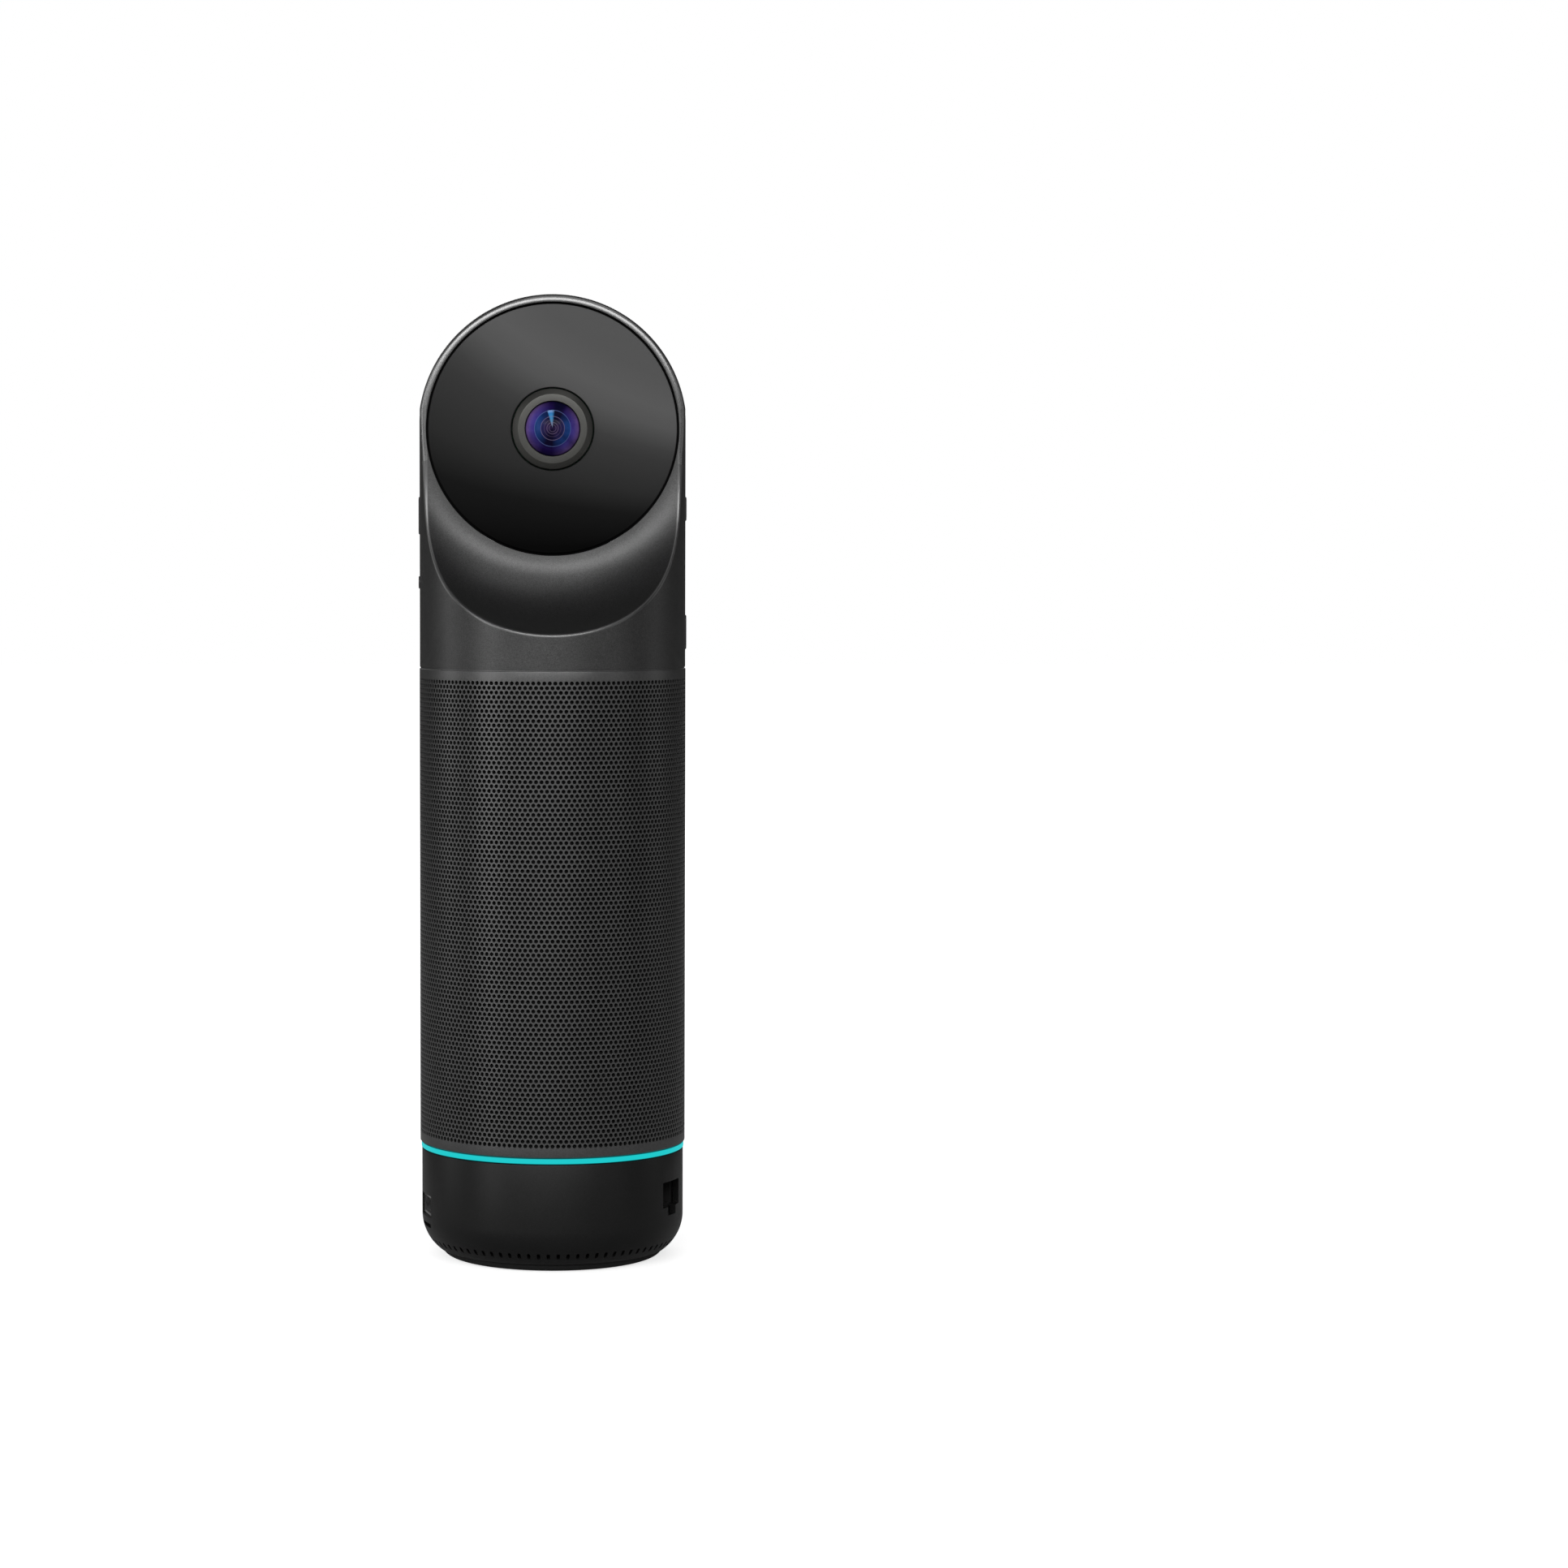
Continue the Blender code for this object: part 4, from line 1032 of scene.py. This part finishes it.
def socket_openings():
    openings = []
    for node, width, height, corner in (
        ("usb_a_socket", 14.7, 7.6, 0.6),
        ("hdmi_in_socket", 15.7, 6.7, 0.6),
        ("hdmi_out_socket", 15.7, 6.7, 0.6),
        ("usb_c_socket", 9.9, 4.3, 2.0),
        ("card_socket", 12.4, 1.5, 0.5),
        ("power_socket", 8.0, 8.0, 3.95),
        ("audio_socket", 6.2, 6.2, 3.05),
    ):
        azimuth, middle_z = azimuth_of(node)
        openings.append(opening(window(width, height, corner), azimuth, middle_z))
    azimuth, _ = azimuth_of("network_socket")
    openings.append(opening(jack_outline(), azimuth, JACK_Z))
    return merged("openings", openings)


def make_base():
    bottom, top = base_low.z, base_high.z
    lip = bottom + BASE_FLOOR
    outline = [(BASE_RADIUS - 0.25, top), (BASE_RADIUS - 0.07, top - 0.07), (BASE_RADIUS, top - 0.25)]
    outline += fillet_wall(0.0, bottom) + [(BASE_HOLE_RADIUS, bottom), (BASE_HOLE_RADIUS, lip)]
    outline += fillet_wall(BASE_WALL, lip)[::-1] + [(BASE_RADIUS - BASE_WALL, top)]
    shell = revolve("base", outline, BASE_STEPS)
    shell = cut(shell, vent_slots())
    shell = cut(shell, socket_openings())
    smooth(shell, 35)
    show("base_casing", shell, base_paint, replaces="base_shell")


def make_light_guide():
    low, high = ring_low.z, ring_high.z
    corners = [
        (RING_RADIUS, high, 0.25),
        (RING_RADIUS, low, 0.25),
        (RING_INNER, low, 0.1),
        (RING_INNER, high, 0.1),
    ]
    guide = revolve("light_guide", rounded(corners, 4), BASE_STEPS)
    show("light_guide", guide, teal, replaces="light_ring")


def make_foot():
    """A ring of rubber, flat below, whose outer edge curves up to the base."""
    inner, top = FOOT_HOLE_RADIUS, foot_high.z
    span = FOOT_RADIUS - FOOT_FLAT_RADIUS
    outline = [(inner, top), (inner, FOOT_CHAMFER), (inner + FOOT_CHAMFER, 0.0)]
    outline += [(FOOT_FLAT_RADIUS + span * sin(a), top * (1 - cos(a))) for a in np.linspace(0, pi / 2, 13)]
    show("foot", revolve("foot", outline, DISC_STEPS), rubber, replaces="foot_pad")


# ---------------------------------------------------------------- studio


AMBIENT = 0.06
AIM = (0.0, 0.0, 0.24)
WHITE = (1.0, 1.0, 1.0, 1.0)
LIGHTS = (  # name, size, power, place
    ("key", (2.8, 0.5), 29.0, (-0.08, -2.0, 1.2)),
    ("left_front", (0.4, 1.4), 6.0, (-1.6, -1.1, 0.6)),
    ("right_front", (0.4, 1.4), 1.3, (1.6, -1.1, 0.6)),
    ("left_strip", (0.5, 1.6), 4.6, (-2.0, 0.3, 0.5)),
    ("right_strip", (0.5, 1.6), 1.6, (2.0, 0.3, 0.5)),
    ("front_fill", (2.6, 1.6), 5.0, (-0.6, -2.6, 0.5)),
    ("overhead", (1.6, 0.8), 3.0, (0.3, -0.9, 1.9)),
    ("rear_key", (2.2, 0.5), 14.5, (-0.3, 2.0, 1.3)),
)


def area_light(name, size, power, place):
    lamp = bpy.data.lights.new(name, "AREA")
    lamp.shape = "RECTANGLE"
    lamp.size, lamp.size_y = size
    lamp.energy = power
    holder = bpy.data.objects.new(name, lamp)
    holder.location = place
    holder.rotation_euler = (Vector(AIM) - Vector(place)).to_track_quat("-Z", "Y").to_euler()
    bpy.context.scene.collection.objects.link(holder)


def seen_and_lit(tree, seen, lit):
    """One shader for the camera and another for the light that the object gets."""
    path = tree.nodes.new("ShaderNodeLightPath")
    mix = tree.nodes.new("ShaderNodeMixShader")
    tree.links.new(path.outputs["Is Camera Ray"], mix.inputs["Fac"])
    tree.links.new(lit, mix.inputs[1])
    tree.links.new(seen, mix.inputs[2])
    return mix.outputs[0]


def make_world():
    """White to the camera, and a faint even light on the object."""
    scene = bpy.context.scene
    scene.view_settings.view_transform = "Standard"
    world = bpy.data.worlds.new("studio")
    scene.world = world
    world.use_nodes = True
    tree = world.node_tree
    lit = tree.nodes["Background"]
    lit.inputs["Color"].default_value = WHITE
    lit.inputs["Strength"].default_value = AMBIENT
    seen = tree.nodes.new("ShaderNodeBackground")
    seen.inputs["Color"].default_value = WHITE
    surface = seen_and_lit(tree, seen.outputs[0], lit.outputs[0])
    tree.links.new(surface, tree.nodes["World Output"].inputs["Surface"])


def make_floor():
    """Pale under the object, where it takes the shadow and its glow is dimmed as painted shade, and white
    further out.
    """
    floor_mesh = bpy.data.meshes.new("floor")
    shape = bmesh.new()
    bmesh.ops.create_grid(shape, x_segments=1, y_segments=1, size=8.0)
    shape.to_mesh(floor_mesh)
    shape.free()
    floor = bpy.data.objects.new("floor", floor_mesh)
    bpy.context.scene.collection.objects.link(floor)
    n = Nodes("pale_floor")
    tree = n.tree
    glow = tree.nodes.new("ShaderNodeEmission")
    away = n.add("ShaderNodeVectorMath", {0: n.place}, operation="LENGTH").outputs["Value"]
    # Painted shade: the glow is dimmer near the object, a darker pool round it.
    tree.links.new(n.map_range(away, 0.4, 2.5, 0.72, 1.0), glow.inputs["Strength"])
    pale = tree.nodes.new("ShaderNodeBsdfDiffuse")
    pale.inputs["Color"].default_value = (0.8, 0.8, 0.8, 1.0)
    both = tree.nodes.new("ShaderNodeAddShader")
    tree.links.new(glow.outputs[0], both.inputs[0])
    tree.links.new(pale.outputs[0], both.inputs[1])
    n.set(Base_Color=(0.45, 0.45, 0.45, 1.0), Roughness=0.9)
    surface = seen_and_lit(tree, both.outputs[0], n.shader.outputs[0])
    tree.links.new(surface, tree.nodes["Material Output"].inputs["Surface"])
    floor_mesh.materials.append(n.material)


def make_studio():
    make_world()
    make_floor()
    for name, size, power, place in LIGHTS:
        area_light(name, size, power, place)


DISTANCE = 1.322
EYE_Z = 0.2394
LOOK_DOWN = 3.26  # degrees
FOCAL = 87.622
SHIFT_X = 0.1476


def make_camera():
    data = bpy.data.cameras.new("view")
    data.lens = FOCAL
    data.sensor_width = 36.0
    data.shift_x = SHIFT_X
    data.clip_start, data.clip_end = 0.05, 50.0
    camera = bpy.data.objects.new("view", data)
    camera.location = (0.0, -DISTANCE, EYE_Z)
    camera.rotation_euler = (radians(90 - LOOK_DOWN), 0.0, 0.0)
    bpy.context.scene.collection.objects.link(camera)
    bpy.context.scene.camera = camera


make_camera()
dress_frame()
make_sleeve()
make_head_shell()
make_faces()
make_buttons()
make_base()
make_light_guide()
make_foot()
make_studio()
